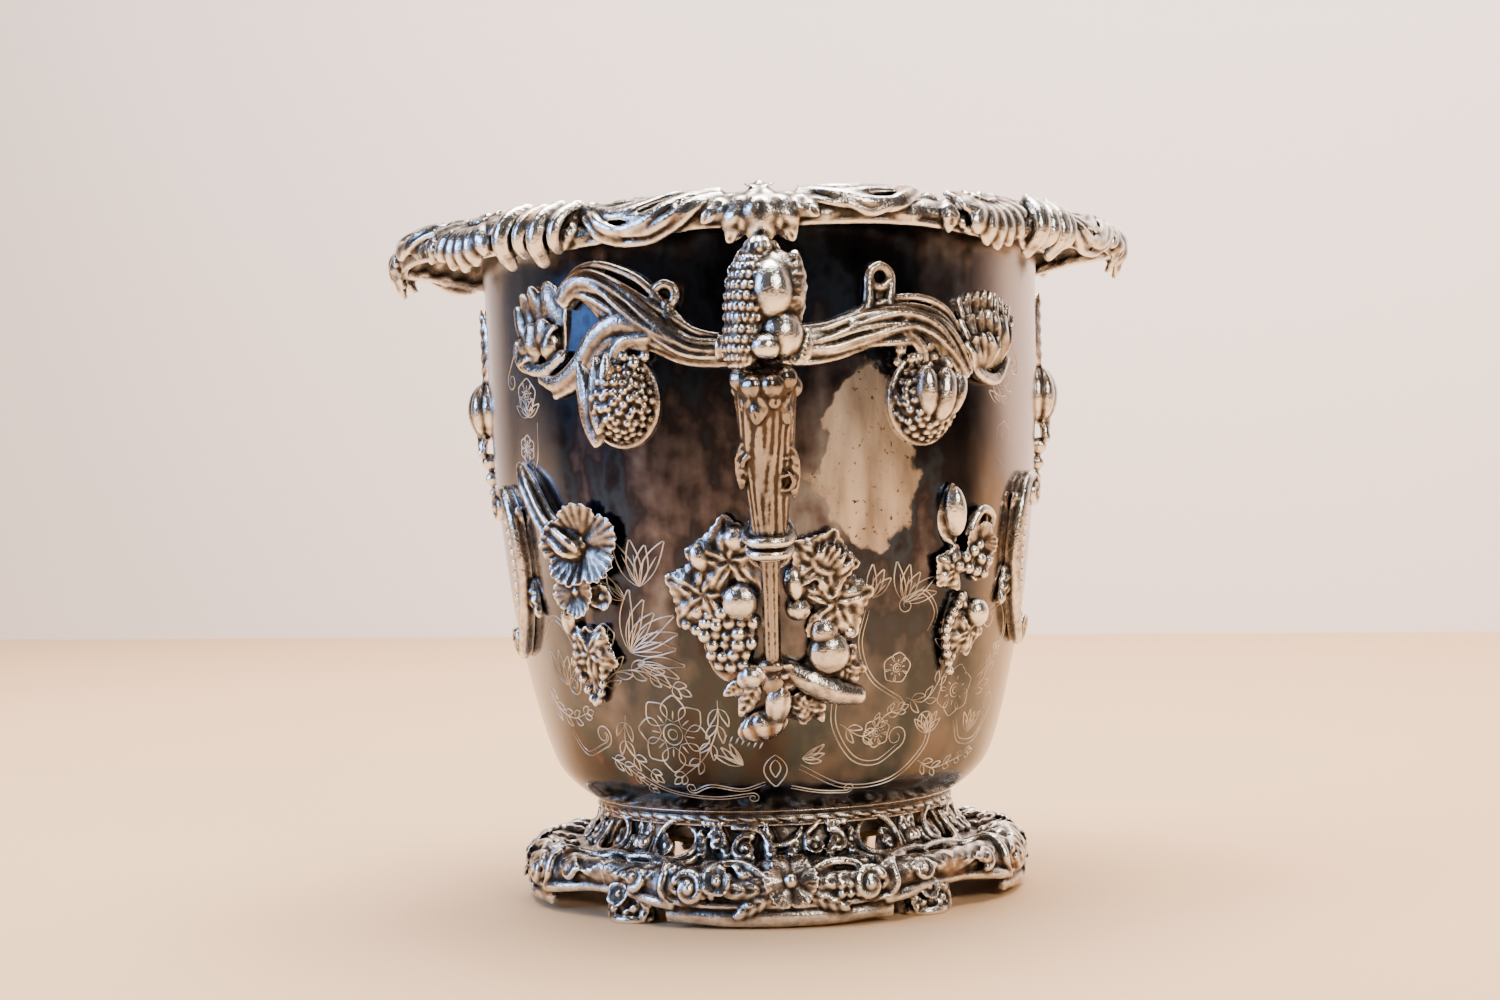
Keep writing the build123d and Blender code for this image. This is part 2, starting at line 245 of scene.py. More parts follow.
def blob(size: Point, relief: Relief | None = None, rows: int = 40, columns: int = 56) -> Shape:
    """A spheroid about y, its radius scaled by a relief.

    Args:
        size: half sizes along x, y and w.
        relief: scale at each (turn, rise); turn is 0 at the front, rise goes from -90 to 90 degrees.
        rows: rings from pole to pole.
        columns: points round each ring.

    Returns:
        The closed skin.
    """
    rise, turn = np.meshgrid(
        np.linspace(-0.49, 0.49, rows) * np.pi, np.arange(columns) / columns * TAU, indexing="ij"
    )
    scale = np.ones_like(rise) if relief is None else relief(turn, rise)
    x = size[0] * np.cos(rise) * np.sin(turn)
    w = size[2] * np.cos(rise) * np.cos(turn)
    return rings(np.stack([x, size[1] * np.sin(rise), w], -1) * scale[..., None])


def disc(
    reach: Callable[[Array], Array], relief: Relief, thick: float, rows: int = 30, columns: int = 120
) -> Shape:
    """A thin plate that faces w, as a flower, shell or lobed leaf.

    At share s of the way out and turn a it lies at s reach(a) from the middle and at height
    relief(s, a), with half the thickness times the sine of the ring's angle above or below.

    Args:
        reach: distance from the middle to the edge at each turn, counted from x towards y.
        relief: height of the plate at each (share of the way out, turn).
        thick: thickness at the middle.
        rows: rings from the underside's middle to the top's.
        columns: points round each ring.

    Returns:
        The closed skin.
    """
    lean, turn = np.meshgrid(
        np.linspace(-0.49, 0.49, rows) * np.pi, np.arange(columns) / columns * TAU, indexing="ij"
    )
    share = np.cos(lean)
    distance = share * reach(turn)
    height = relief(share, turn) + thick / 2 * np.sin(lean)
    return rings(np.stack([distance * np.cos(turn), distance * np.sin(turn), height], -1))


def leaf(
    length: float,
    width: float,
    teeth: int = 0,
    tooth: float = 0.12,
    veins: int = 5,
    vein: float = 0.35,
    cup: float = -0.2,
    curl: float = 0.0,
    thick: float = 1.6,
    sway: float = 0.0,
) -> Shape:
    """A pointed leaf with its stalk at the origin and its tip up y.

    Its half width at share u of the length is sin(pi u^0.8)^0.7, scalloped by |sin(teeth pi u)|. Its
    height adds a groove along the midrib, slanting veins, a cup across, and a curl along.

    Args:
        length: stalk to tip.
        width: greatest width.
        teeth: scallops along each side.
        tooth: depth of the scallops as a share of the width.
        veins: veins along each side.
        vein: height of the veins.
        cup: rise of the edges over the middle, as a share of the half width.
        curl: rise of the tip, as a share of the length.
        thick: thickness at the midrib.
        sway: sideways bend of the tip, as a share of the length.

    Returns:
        The closed skin.
    """
    rows, columns = max(int(length / 0.7), 12), 40
    u, turn = np.meshgrid(
        np.linspace(0.01, 0.99, rows), np.arange(columns) / columns * TAU, indexing="ij"
    )
    half = width / 2 * np.sin(np.pi * u**0.8) ** 0.7
    half = half * (1 - tooth + tooth * np.abs(np.sin(teeth * np.pi * u)) if teeth else 1.0)
    across = np.sin(turn)
    groove = -1.6 * vein * np.exp(-((across / 0.16) ** 2))
    slant = vein * np.cos(TAU * (veins * u - 0.9 * np.abs(across))) * (1 - across**2)
    height = groove + slant + cup * half * across**2 + curl * length * u**2
    x = half * across + sway * length * u**2
    w = height + thick / 2 * np.cos(turn)
    return rings(np.stack([x, length * u, w], -1))


def beads(centres: Sequence[Point], radius: float | Sequence[float]) -> Shape:
    """Small balls at the given middles, each a coarse spheroid."""
    ball = blob((1.0, 1.0, 1.0), rows=9, columns=12)
    middles = np.asarray(centres, float)
    sizes = np.broadcast_to(np.asarray(radius, float), len(middles))
    points = ball.points[None] * sizes[:, None, None] + middles[:, None]
    steps = np.arange(len(middles))[:, None, None] * len(ball.points)
    return Shape(points.reshape(-1, 3), (ball.faces[None] + steps).reshape(-1, 3))


def loop(radius: float, bar: float, sweep: float = 360.0, start: float = 0.0, flat: float = 1.0) -> Shape:
    """A round bar bent to an arc in the plane of the plate, about the origin."""
    angles = np.radians(np.linspace(start, start + sweep, 24))
    path = np.stack([radius * np.cos(angles), radius * np.sin(angles), 0 * angles], -1)
    return tube(path, [bar], flat=flat, pitch=0.6)


def flower(petals: int, radius: float, cup: float, heart: float, ruffle: float = 0.0) -> Shape:
    """An open flower that faces w.

    Its edge is the radius times 0.8 + 0.2 |cos(petals a / 2)|, its height rises by cup along the
    square of the way out with a fold between petals, and a ball of the heart's radius fills it.

    Args:
        petals: how many petals there are.
        radius: middle to the petals' tips.
        cup: height of the edge over the middle.
        heart: radius of the ball in the middle.
        ruffle: height of the fine pleats at the edge.

    Returns:
        The closed skins.
    """

    def reach(turn: Array) -> Array:
        """The scalloped and pleated outline."""
        pleats = 0.05 * ruffle * np.cos(5 * petals * turn)
        return radius * (0.8 + 0.2 * np.abs(np.cos(petals * turn / 2)) ** 0.5 + pleats)

    def relief(share: Array, turn: Array) -> Array:
        """The cupped, pleated face."""
        fold = 0.1 * radius * np.abs(np.cos(petals * turn / 2)) * share * (2 - share)
        pleats = 0.6 * ruffle * share**2 * np.cos(5 * petals * turn + 2 * share)
        return cup * share**2 + fold + pleats

    bloom = disc(reach, relief, 1.6, 36, 300)
    return joined([bloom, blob((heart,) * 3, rows=14, columns=18).moved(w=0.6)])


def lobed_leaf(size: float, lobes: int = 5, cup: float = -2.0) -> Shape:
    """A broad lobed leaf, as of a vine, that faces w with its stalk down.

    Its edge is the size times 1 - 0.27 |sin(lobes a / 2)|^0.7 with fine teeth and a notch at the
    stalk. Its height is puffed between fine sunken veins, one to each lobe, and wrinkled all over.

    Args:
        size: middle to the tips.
        lobes: how many lobes there are.
        cup: rise of the edge over the middle.

    Returns:
        The closed skin.
    """

    def reach(turn: Array) -> Array:
        """The lobed, toothed and notched outline."""
        around = turn - np.pi / 2
        notch = 0.3 * np.exp(-(((np.pi - np.abs(around % TAU - np.pi)) - np.pi) ** 2) / 0.12)
        cut = np.abs(np.sin(lobes * around / 2)) ** 0.7
        return size * (1 - 0.27 * cut + 0.05 * np.abs(np.sin(2.5 * lobes * around)) - notch)

    def relief(share: Array, turn: Array) -> Array:
        """Puffed panels between fine veins, with wrinkles and a turned-up edge."""
        cut = np.abs(np.sin(lobes * (turn - np.pi / 2) / 2))
        vein = -0.4 * np.exp(-((cut / 0.09) ** 2)) * np.sin(np.pi * share) ** 0.5
        puff = 0.7 * np.sin(np.pi * share) * np.sin(np.pi * cut * 0.8)
        crease = 0.45 * np.sin(5 * turn + 6 * share) * np.sin(2.5 * np.pi * share)
        return 2.2 + cup * share**2 + vein + puff + crease + 0.7 * share**8

    return disc(reach, relief, 2.4, 50, 240)


def comb(width: float, height: float, folds: int, dome: float = 2.6) -> Shape:
    """A ruffled leaf whose upright folds spread from its foot and end in round tips.

    The folds are |cos| across the leaf with a slow sine that makes them uneven, and grow upwards.
    """
    across, up = np.meshgrid(np.linspace(-1, 1, folds * 8 + 1), np.linspace(0, 1, int(height / 0.6)))
    fold = np.abs(np.cos(across * folds * np.pi / 2 + 0.7 * np.sin(3 * across + 1)))
    x = width / 2 * across * (0.45 + 0.55 * up**0.7)
    y = height * up * (0.86 + 0.14 * fold - 0.18 * across**2)
    ripple = 0.5 * np.sin(9 * up + 4 * across) * up
    return slab(x, y, dome * np.sin(np.pi * up * 0.75) + (1.3 * fold + 1.6 * ripple) * up, 2.4)


def strands(
    path: Sequence[Point], width: Sequence[float], bar: float, count: int, seed: int, crown: float = 1.5
) -> list[Shape]:
    """A bundle of uneven rods side by side along a path, as the grain of bark or a gathered ribbon.

    Each rod keeps its own share of the width, wanders by a slow sine, and has uneven radii.

    Args:
        path: points that the bundle's middle runs through.
        width: widths of the bundle spread evenly along the path.
        bar: mean radius of a rod.
        count: how many rods there are.
        seed: seed of the wandering and the radii.
        crown: rise of the middle rods over the outer ones.

    Returns:
        The rods.
    """
    rng = np.random.default_rng(seed)
    line = smooth_line(path, 41)
    t = np.linspace(0, 1, 41)
    side = unit(np.cross((0.0, 0.0, 1.0), np.gradient(line, axis=0)))
    spread = np.interp(t, np.linspace(0, 1, len(width)), width)
    rods = []
    for share in np.linspace(-0.5, 0.5, count):
        wander = 0.09 * np.sin(TAU * (rng.uniform(0.6, 1.5) * t + rng.random()))
        rod = line + side * ((share + wander) * spread)[:, None]
        rod[:, 2] += crown * (1 - 4 * share**2)
        rods.append(tube(rod[::4], bar * rng.uniform(0.65, 1.25, 7)))
    return rods


def shell(radius: float, ribs: int, spread: float = 150.0, dome: float = 3.0) -> Shape:
    """A scallop shell with its hinge at the origin, fanned about up y.

    Each rib is |cos| across the fan; the edge is scalloped and the middle domed.
    """
    count = ribs * 8 + 1
    fan, out = np.meshgrid(
        np.radians(np.linspace(spread / 2, -spread / 2, count)) + np.pi / 2,
        np.linspace(0.12, 1.0, max(int(radius / 0.7), 10)),
    )
    rib = np.abs(np.cos((fan - np.pi / 2) * ribs * np.pi / np.radians(spread)))
    distance = radius * out * (0.9 + 0.1 * rib * out)
    height = dome * np.sin(np.pi * out * 0.8) + 1.1 * rib * out
    return slab(distance * np.cos(fan), distance * np.sin(fan), height, 1.8)


def volute(radius: float, bar: float, turns: float = 1.4, hand: int = 1) -> Shape:
    """A tapering bar wound into a spiral about the origin, ending in a ball at its eye."""
    t = np.linspace(0, 1, 30)
    angle = hand * TAU * turns * t
    reach = radius * (1 - 0.82 * t)
    path = np.stack([reach * np.cos(angle), reach * np.sin(angle), 0.8 * t], -1)
    rod = tube(path, [bar, bar * 0.8, bar * 0.6], pitch=0.6, reeds=6, depth=0.12)
    return joined([rod, beads([(0.0, 0.0, 0.8)], bar * 1.1)])


# ---------------------------------------------------------------------------------------------
# Grounds that castings are bent over
# ---------------------------------------------------------------------------------------------


@dataclass(frozen=True)
class Ground:
    """A surface of revolution, given by its outline from the bottom up with the outside to the right."""

    outline: tuple[tuple[float, float], ...]

    def _line(self) -> tuple[Array, Array, Array]:
        """Arc length, points and outward normals along the outline, run on straight at both ends."""
        line = smooth_line(self.outline, 240)
        run_on = 30.0
        first, last = unit(line[0] - line[1]), unit(line[-1] - line[-2])
        steps = np.linspace(run_on, 1.0, 30)[:, None]
        line = np.vstack([line[0] + first * steps, line, line[-1] + last * steps[::-1]])
        lengths = np.linalg.norm(np.diff(line, axis=0), axis=1)
        arc = np.concatenate([[0.0], np.cumsum(lengths)]) - lengths[: len(steps)].sum()
        tangent = unit(np.gradient(line, axis=0))
        return arc, line, np.stack([tangent[:, 1], -tangent[:, 0]], -1)

    def at(self, height: float) -> float:
        """Arc length at a height, on a ground whose height only rises."""
        arc, line, _ = self._line()
        return float(np.interp(height, line[:, 1], arc))

    def lay(self, shape: Shape, angle: float, start: float) -> Shape:
        """Bends a flat shape round the ground.

        Args:
            shape: the flat shape, x round the bucket, y along the outline, w outwards.
            angle: where its x is 0, in degrees from the front.
            start: where its y is 0, as arc length along the outline.

        Returns:
            The shape in the row frame, in millimetres.
        """
        arc, line, normal = self._line()
        s = start + shape.points[:, 1]
        here = np.stack([np.interp(s, arc, line[:, k]) for k in range(2)], -1)
        out = np.stack([np.interp(s, arc, normal[:, k]) for k in range(2)], -1)
        place = here + out * shape.points[:, 2:3]
        turn = np.radians(angle) + shape.points[:, 0] / np.interp(start, arc, line[:, 0])
        x, y = place[:, 0] * np.sin(turn), -place[:, 0] * np.cos(turn)
        return Shape(np.stack([x, y, place[:, 1]], -1), shape.faces)


BOWL_GROUND = Ground(
    (
        (60.0, 34.0),
        (69.0, 38.0),
        (76.5, 44.0),
        (81.5, 51.0),
        (86.0, 64.0),
        (91.0, 84.0),
        (96.0, 108.0),
        (100.5, 145.0),
        (103.0, 185.0),
        (103.6, 220.0),
        (105.0, 243.0),
    )
)
BORDER_GROUND = Ground(
    (
        (134.6, 235.0),
        (136.2, 238.4),
        (135.2, 241.6),
        (132.0, 243.8),
        (126.5, 245.4),
        (119.5, 246.0),
        (112.5, 245.2),
        (106.5, 244.2),
        (102.5, 243.4),
    )
)
FOOT_GROUND = Ground(
    (
        (91.0, 0.8),
        (92.0, 5.0),
        (92.2, 10.0),
        (91.4, 15.5),
        (88.8, 19.4),
        (85.2, 21.0),
        (81.4, 20.0),
        (77.5, 18.8),
        (73.5, 19.8),
        (69.5, 22.8),
        (66.8, 26.6),
        (65.4, 30.4),
        (65.0, 34.0),
    )
)


def on_bowl(shapes: Sequence[Shape], angle: float, height: float) -> Shape:
    """Flat shapes joined, cut flat behind, and bent over the bowl.

    Args:
        shapes: the flat shapes.
        angle: where their x is 0, in degrees from the front.
        height: where their y is 0, in millimetres over the table.

    Returns:
        The shape in the row frame.
    """
    flat = joined(shapes)
    flat.points[:, 2] = np.maximum(flat.points[:, 2], SUNK)
    return BOWL_GROUND.lay(flat, angle, BOWL_GROUND.at(height))


# ---------------------------------------------------------------------------------------------
# Casting: one skin over many surfaces, and its mark of high and low
# ---------------------------------------------------------------------------------------------


def to_mesh(name: str, shape: Shape) -> bpy.types.Mesh:
    """A Blender mesh, in metres, smooth shaded, from a shape in millimetres."""
    mesh = bpy.data.meshes.new(name)
    mesh.from_pydata(shape.points * MM, [], shape.faces.tolist())
    mesh.polygons.foreach_set("use_smooth", np.ones(len(mesh.polygons), bool))
    mesh.update()
    return mesh


def linked(name: str, mesh: bpy.types.Mesh) -> bpy.types.Object:
    """A new object in the scene, at the origin."""
    piece = bpy.data.objects.new(name, mesh)
    bpy.context.scene.collection.objects.link(piece)
    return piece


def point_array(mesh: bpy.types.Mesh) -> Array:
    """The mesh's points as an array of rows."""
    flat = np.empty(len(mesh.vertices) * 3)
    mesh.vertices.foreach_get("co", flat)
    return flat.reshape(-1, 3)


def mark_relief(mesh: bpy.types.Mesh, passes: int = 14, depth: float = 0.45) -> None:
    """Writes how far each point stands over its surroundings, as the point attribute "relief".

    The points are averaged with their neighbours many times, and the height over that average
    along the point's normal is divided by the depth and clipped to -1 and 1.

    Args:
        mesh: the mesh to mark.
        passes: how many times the points are averaged.
        depth: the height in millimetres that counts as 1.
    """
    points = point_array(mesh) / MM
    count = len(points)
    edges = np.empty(len(mesh.edges) * 2, np.int64)
    mesh.edges.foreach_get("vertices", edges)
    a, b = edges.reshape(-1, 2).T
    degree = np.maximum(np.bincount(a, minlength=count) + np.bincount(b, minlength=count), 1)
    soft = points
    for _ in range(passes):
        sums = [
            np.bincount(a, soft[b, k], count) + np.bincount(b, soft[a, k], count) for k in range(3)
        ]
        soft = 0.5 * soft + 0.5 * np.stack(sums, -1) / degree[:, None]
    normals = np.empty(count * 3)
    mesh.vertex_normals.foreach_get("vector", normals)
    height = ((points - soft) * normals.reshape(-1, 3)).sum(1) / depth
    attribute = mesh.attributes.new("relief", "FLOAT", "POINT")
    attribute.data.foreach_set("value", np.clip(height, -1, 1).astype(np.float32))


def cast(name: str, shape: Shape, voxel: float = 0.5) -> bpy.types.Mesh:
    """Casts one closed skin over all of a shape's surfaces, softens and thins it, marks its relief.

    Args:
        name: the mesh's name.
        shape: overlapping closed surfaces, in millimetres.
        voxel: the skin's grain, in millimetres.

    Returns:
        The cast mesh.
    """
    draft = linked(name + "_draft", to_mesh(name + "_draft", shape))
    remesh = draft.modifiers.new("skin", "REMESH")
    remesh.mode = "VOXEL"
    remesh.voxel_size = voxel * MM
    remesh.use_smooth_shade = True
    soften = draft.modifiers.new("soften", "SMOOTH")
    soften.factor, soften.iterations = 0.5, 2
    thin = draft.modifiers.new("thin", "DECIMATE")
    thin.ratio = KEPT_SHARE
    graph = bpy.context.evaluated_depsgraph_get()
    mesh = bpy.data.meshes.new_from_object(draft.evaluated_get(graph), depsgraph=graph)
    mesh.name = name
    bpy.data.objects.remove(draft)
    mark_relief(mesh)
    return mesh


# ---------------------------------------------------------------------------------------------
# Finishes
# ---------------------------------------------------------------------------------------------


def linear(colour: str) -> tuple[float, float, float, float]:
    """An sRGB hex colour as linear red, green, blue and alpha."""
    parts = np.array([int(colour[i : i + 2], 16) for i in (1, 3, 5)]) / 255
    curved = np.where(parts <= 0.04045, parts / 12.92, ((parts + 0.055) / 1.055) ** 2.4)
    return (*curved.tolist(), 1.0)


def add_node(
    tree: bpy.types.NodeTree, kind: str, settings: dict | None = None, inputs: dict | None = None
) -> bpy.types.Node:
    """Adds a shader node.

    Args:
        tree: the material's node tree.
        kind: the node's Blender type.
        settings: the node's own properties by name.
        inputs: sockets to link or values to set, by input name or number.

    Returns:
        The new node.
    """
    node = tree.nodes.new(kind)
    for key, value in (settings or {}).items():
        setattr(node, key, value)
    for key, value in (inputs or {}).items():
        if isinstance(value, Socket):
            tree.links.new(value, node.inputs[key])
        else:
            node.inputs[key].default_value = value
    return node


def ramp(tree: bpy.types.NodeTree, factor: Socket, stops: Sequence[tuple[float, str]]) -> Socket:
    """A colour ramp over a factor.

    Args:
        tree: the material's node tree.
        factor: the socket that drives it.
        stops: (position, sRGB hex colour), in order.

    Returns:
        The colour socket.
    """
    node = add_node(tree, "ShaderNodeValToRGB", inputs={"Fac": factor})
    elements = node.color_ramp.elements
    for position, _ in stops[2:]:
        elements.new(position)
    for element, (position, colour) in zip(elements, stops):
        element.position = position
        element.color = linear(colour)
    return node.outputs["Color"]


def noise(
    tree: bpy.types.NodeTree, size: float, detail: float = 3.0, stretch: Point = (1.0, 1.0, 1.0)
) -> Socket:
    """Noise on Object coordinates.

    Args:
        tree: the material's node tree.
        size: width of its largest spots, in millimetres.
        detail: how many finer layers it has.
        stretch: scale along each axis.

    Returns:
        The factor socket.
    """
    place = add_node(tree, "ShaderNodeTexCoord").outputs["Object"]
    mapped = add_node(tree, "ShaderNodeMapping", inputs={"Vector": place, "Scale": stretch})
    inputs = {"Vector": mapped.outputs[0], "Scale": 1 / (size * MM), "Detail": detail}
    return add_node(tree, "ShaderNodeTexNoise", inputs=inputs).outputs["Fac"]


def between(tree: bpy.types.NodeTree, value: Socket, low: float, high: float) -> Socket:
    """A value stretched from low..high to 0..1, clamped and eased at both ends."""
    inputs = {"Value": value, "From Min": low, "From Max": high}
    node = add_node(tree, "ShaderNodeMapRange", {"interpolation_type": "SMOOTHSTEP"}, inputs)
    return node.outputs[0]


def maths(tree: bpy.types.NodeTree, operation: str, *values: Socket | float) -> Socket:
    """A Math node on up to three values."""
    inputs = dict(enumerate(values))
    return add_node(tree, "ShaderNodeMath", {"operation": operation}, inputs).outputs[0]


def blend(tree: bpy.types.NodeTree, factor: Socket, low: Socket | str, high: Socket | str) -> Socket:
    """Two colours mixed by a factor; each is a socket or an sRGB hex colour."""
    low, high = (linear(c) if isinstance(c, str) else c for c in (low, high))
    inputs = {"Factor": factor, 6: low, 7: high}
    return add_node(tree, "ShaderNodeMix", {"data_type": "RGBA"}, inputs).outputs[2]


@dataclass(frozen=True)
class Finish:
    """A metal finish, whose surface method gives colour, roughness and height."""

    name: str
    bump: float = 0.15

    def surface(self, tree: bpy.types.NodeTree) -> tuple[Socket, Socket, Socket]:
        """Colour, roughness and height sockets."""
        raise NotImplementedError

    def build(self) -> bpy.types.Material:
        """The Blender material."""
        material = bpy.data.materials.new(self.name)
        material.use_nodes = True
        tree = material.node_tree
        shader = tree.nodes["Principled BSDF"]
        colour, roughness, height = self.surface(tree)
        shader.inputs["Metallic"].default_value = 1.0
        tree.links.new(colour, shader.inputs["Base Color"])
        tree.links.new(roughness, shader.inputs["Roughness"])
        inputs = {"Height": height, "Strength": self.bump, "Distance": 0.3 * MM}
        bumped = add_node(tree, "ShaderNodeBump", inputs=inputs)
        tree.links.new(bumped.outputs[0], shader.inputs["Normal"])
        return material


@dataclass(frozen=True)
class TarnishedBowlPlateWithPaintedReflections(Finish):
    """Silver plate over spun copper, unpolished for years.

    The sulphide film runs from yellow grey through purple brown to blue black with its thickness,
    is rubbed off in places, and shows copper where the plate is worn through. Low on the bowl its
    colours are painted lighter and warmer, a painted reflection of the table, and the left and right
    sides are painted pale, bluish on the left and warm on the right, as painted reflections of the
    window and the lamp.
    """

    rubbed_middle: tuple[float, float, float] = (36.0, -95.0, 160.0)
    rubbed_reach: float = 45.0

    def surface(self, tree: bpy.types.NodeTree) -> tuple[Socket, Socket, Socket]:
        """Colour, roughness and height sockets."""
        place = add_node(tree, "ShaderNodeTexCoord").outputs["Object"]
        parts = add_node(tree, "ShaderNodeSeparateXYZ", inputs={0: place}).outputs
        broad = noise(tree, 60.0, 4.0, (1.0, 1.0, 0.6))
        runs = noise(tree, 20.0, 4.0, (1.0, 1.0, 0.22))
        film = maths(tree, "MULTIPLY_ADD", runs, 0.46, maths(tree, "MULTIPLY", broad, 0.6))
        film = maths(tree, "MULTIPLY_ADD", noise(tree, 7.0, 4.0), 0.16, maths(tree, "ADD", film, -0.08))
        dark = ramp(
            tree,
            film,
            (
                (0.38, "#15151B"),
                (0.46, "#25242B"),
                (0.50, "#333E4D"),
                (0.54, "#2F2C31"),
                (0.60, "#5B565C"),
                (0.68, "#858C95"),
            ),
        )
        # Low on the bowl the tarnish colours are painted lighter and warmer: a painted reflection of the
        # table.
        low = between(tree, maths(tree, "ADD", parts[2], maths(tree, "MULTIPLY", broad, 0.06)), 0.17, 0.09)
        warm = ramp(tree, film, ((0.38, "#302B29"), (0.48, "#443D39"), (0.55, "#41484A"), (0.66, "#6A635E")))
        colour = blend(tree, low, dark, warm)
        # Painted reflections of the window and the lamp: the left and right sides are painted pale, bluish on
        # the left and warm on the right, less so low down.
        away = maths(tree, "ABSOLUTE", parts[0])
        painted_flank_reflection = between(tree, maths(tree, "MULTIPLY_ADD", broad, 0.03, away), 0.082, 0.104)
        painted_flank_reflection = maths(tree, "MULTIPLY", painted_flank_reflection, maths(tree, "MULTIPLY_ADD", low, -0.6, 1.0))
        pale = blend(tree, between(tree, parts[0], -0.02, 0.02), "#B6BAC6", "#A3978F")
        colour = blend(tree, painted_flank_reflection, colour, pale)
        copper = between(tree, noise(tree, 34.0, 6.0), 0.68, 0.76)
        colour = blend(tree, copper, colour, "#7D6050")
        ragged = maths(tree, "MULTIPLY", noise(tree, 20.0, 6.0), 0.042)
        middle = tuple(c * MM for c in self.rubbed_middle)
        offset = add_node(tree, "ShaderNodeVectorMath", {"operation": "SUBTRACT"}, {0: place, 1: middle})
        squeezed = add_node(
            tree, "ShaderNodeVectorMath", {"operation": "MULTIPLY"}, {
                0: offset.outputs[0], 1: (1.3, 0.6, 0.85)
            }
        )
        span = add_node(tree, "ShaderNodeVectorMath", {"operation": "LENGTH"}, {0: squeezed.outputs[0]})
        distance = maths(tree, "ADD", span.outputs["Value"], ragged)
        edge = self.rubbed_reach * MM
        patch = between(tree, distance, edge, edge - 2.5 * MM)
        pits = between(tree, noise(tree, 1.8, 5.0), 0.62, 0.7)
        bare = ramp(tree, noise(tree, 9.0, 5.0, (1.0, 1.0, 0.3)), ((0.35, "#857D76"), (0.65, "#C4BCB4")))
        silver = blend(tree, pits, bare, "#4A3A2E")
        colour = blend(tree, patch, colour, silver)
        grain = noise(tree, 0.8, 4.0, (1.0, 1.0, 0.25))
        dull = maths(tree, "MULTIPLY_ADD", film, 0.3, 0.04)
        roughness = maths(tree, "MULTIPLY_ADD", patch, 0.08, dull)
        return colour, roughness, maths(tree, "MULTIPLY_ADD", grain, 0.25, noise(tree, 9.0, 2.0))


@dataclass(frozen=True)
class WornCastPlate(Finish):
    """Silver plate over a soft white-metal casting.

    Polish never reaches the hollows, which stay near black, while the high points are rubbed
    bright, and thin plate lets a brassy copper show on the shoulders between.
    """

    hollow: str = "#231F1C"
    middle: str = "#716B66"
    bright: str = "#F3F0EC"
    worn: str = "#96775C"
    worn_share: float = 0.2

    def surface(self, tree: bpy.types.NodeTree) -> tuple[Socket, Socket, Socket]:
        """Colour, roughness and height sockets."""
        relief = add_node(tree, "ShaderNodeAttribute", {"attribute_name": "relief"}).outputs["Fac"]
        speckle = noise(tree, 2.5, 4.0)
        level = maths(tree, "ADD", relief, maths(tree, "MULTIPLY_ADD", speckle, 0.7, -0.35))
        stops = (
            (0.0, self.hollow), (0.28, "#3B3632"), (0.48, self.middle), (0.7, "#A8A29C"), (0.92, self.bright)
        )
        colour = ramp(tree, between(tree, level, -0.9, 0.9), stops)
        warm = between(tree, noise(tree, 14.0, 4.0), 0.62 - 0.2 * self.worn_share, 0.75)
        shoulder = between(tree, level, 0.9, 0.0)
        amount = maths(tree, "MULTIPLY", maths(tree, "MULTIPLY", warm, shoulder), 0.75)
        colour = blend(tree, amount, colour, self.worn)
        roughness = maths(tree, "MULTIPLY_ADD", between(tree, level, -0.6, 0.6), -0.2, 0.38)
        pitted = noise(tree, 1.1, 4.0)
        return colour, roughness, maths(tree, "MULTIPLY_ADD", pitted, 1.6, speckle)


@dataclass(frozen=True)
class WornBarkPlate(WornCastPlate):
    """The same casting with a bark surface, handled until its plate is mostly copper brown."""

    hollow: str = "#1B1714"
    middle: str = "#433B35"
    bright: str = "#8F867D"
    worn: str = "#5A483C"
    worn_share: float = 0.8


@dataclass(frozen=True)
class CutSilver(Finish):
    """Engraved lines, bright as where a graver has cut through tarnish into clean silver."""

    def surface(self, tree: bpy.types.NodeTree) -> tuple[Socket, Socket, Socket]:
        """Colour, roughness and height sockets."""
        spots = noise(tree, 12.0, 3.0)
        colour = ramp(tree, spots, ((0.32, "#9C938A"), (0.58, "#E6E1DA")))
        return colour, maths(tree, "MULTIPLY_ADD", spots, 0.2, 0.25), noise(tree, 0.6, 2.0)


@dataclass(frozen=True)
class TurnedBrass(Finish):
    """Lathe-turned brass, dulled by age, for the hidden fittings."""

    def surface(self, tree: bpy.types.NodeTree) -> tuple[Socket, Socket, Socket]:
        """Colour, roughness and height sockets."""
        spots = noise(tree, 6.0, 3.0)
        colour = ramp(tree, spots, ((0.35, "#7C5F34"), (0.65, "#B8945A")))
        return colour, maths(tree, "MULTIPLY_ADD", spots, 0.25, 0.25), noise(tree, 0.7, 2.0)


@dataclass
class Palette:
    """The finishes that the pieces are dressed in."""

    bowl: bpy.types.Material = field(
        default_factory=lambda: TarnishedBowlPlateWithPaintedReflections("tarnished_plate_with_painted_reflections", 0.08).build()
    )
    cast: bpy.types.Material = field(
        default_factory=lambda: WornCastPlate("worn_cast_silver_plate", 0.5).build()
    )
    bark: bpy.types.Material = field(
        default_factory=lambda: WornBarkPlate("worn_bark_silver_plate", 0.3).build()
    )
    cut: bpy.types.Material = field(default_factory=lambda: CutSilver("engraved_silver", 0.1).build())
    brass: bpy.types.Material = field(default_factory=lambda: TurnedBrass("turned_brass", 0.1).build())

    def of(self, slot: Slot) -> bpy.types.Material:
        """The finish of a material slot."""
        return {
            Slot.BOWL: self.bowl,
            Slot.CAST: self.cast,
            Slot.BARK: self.bark,
            Slot.BRASS: self.brass,
        }[slot]


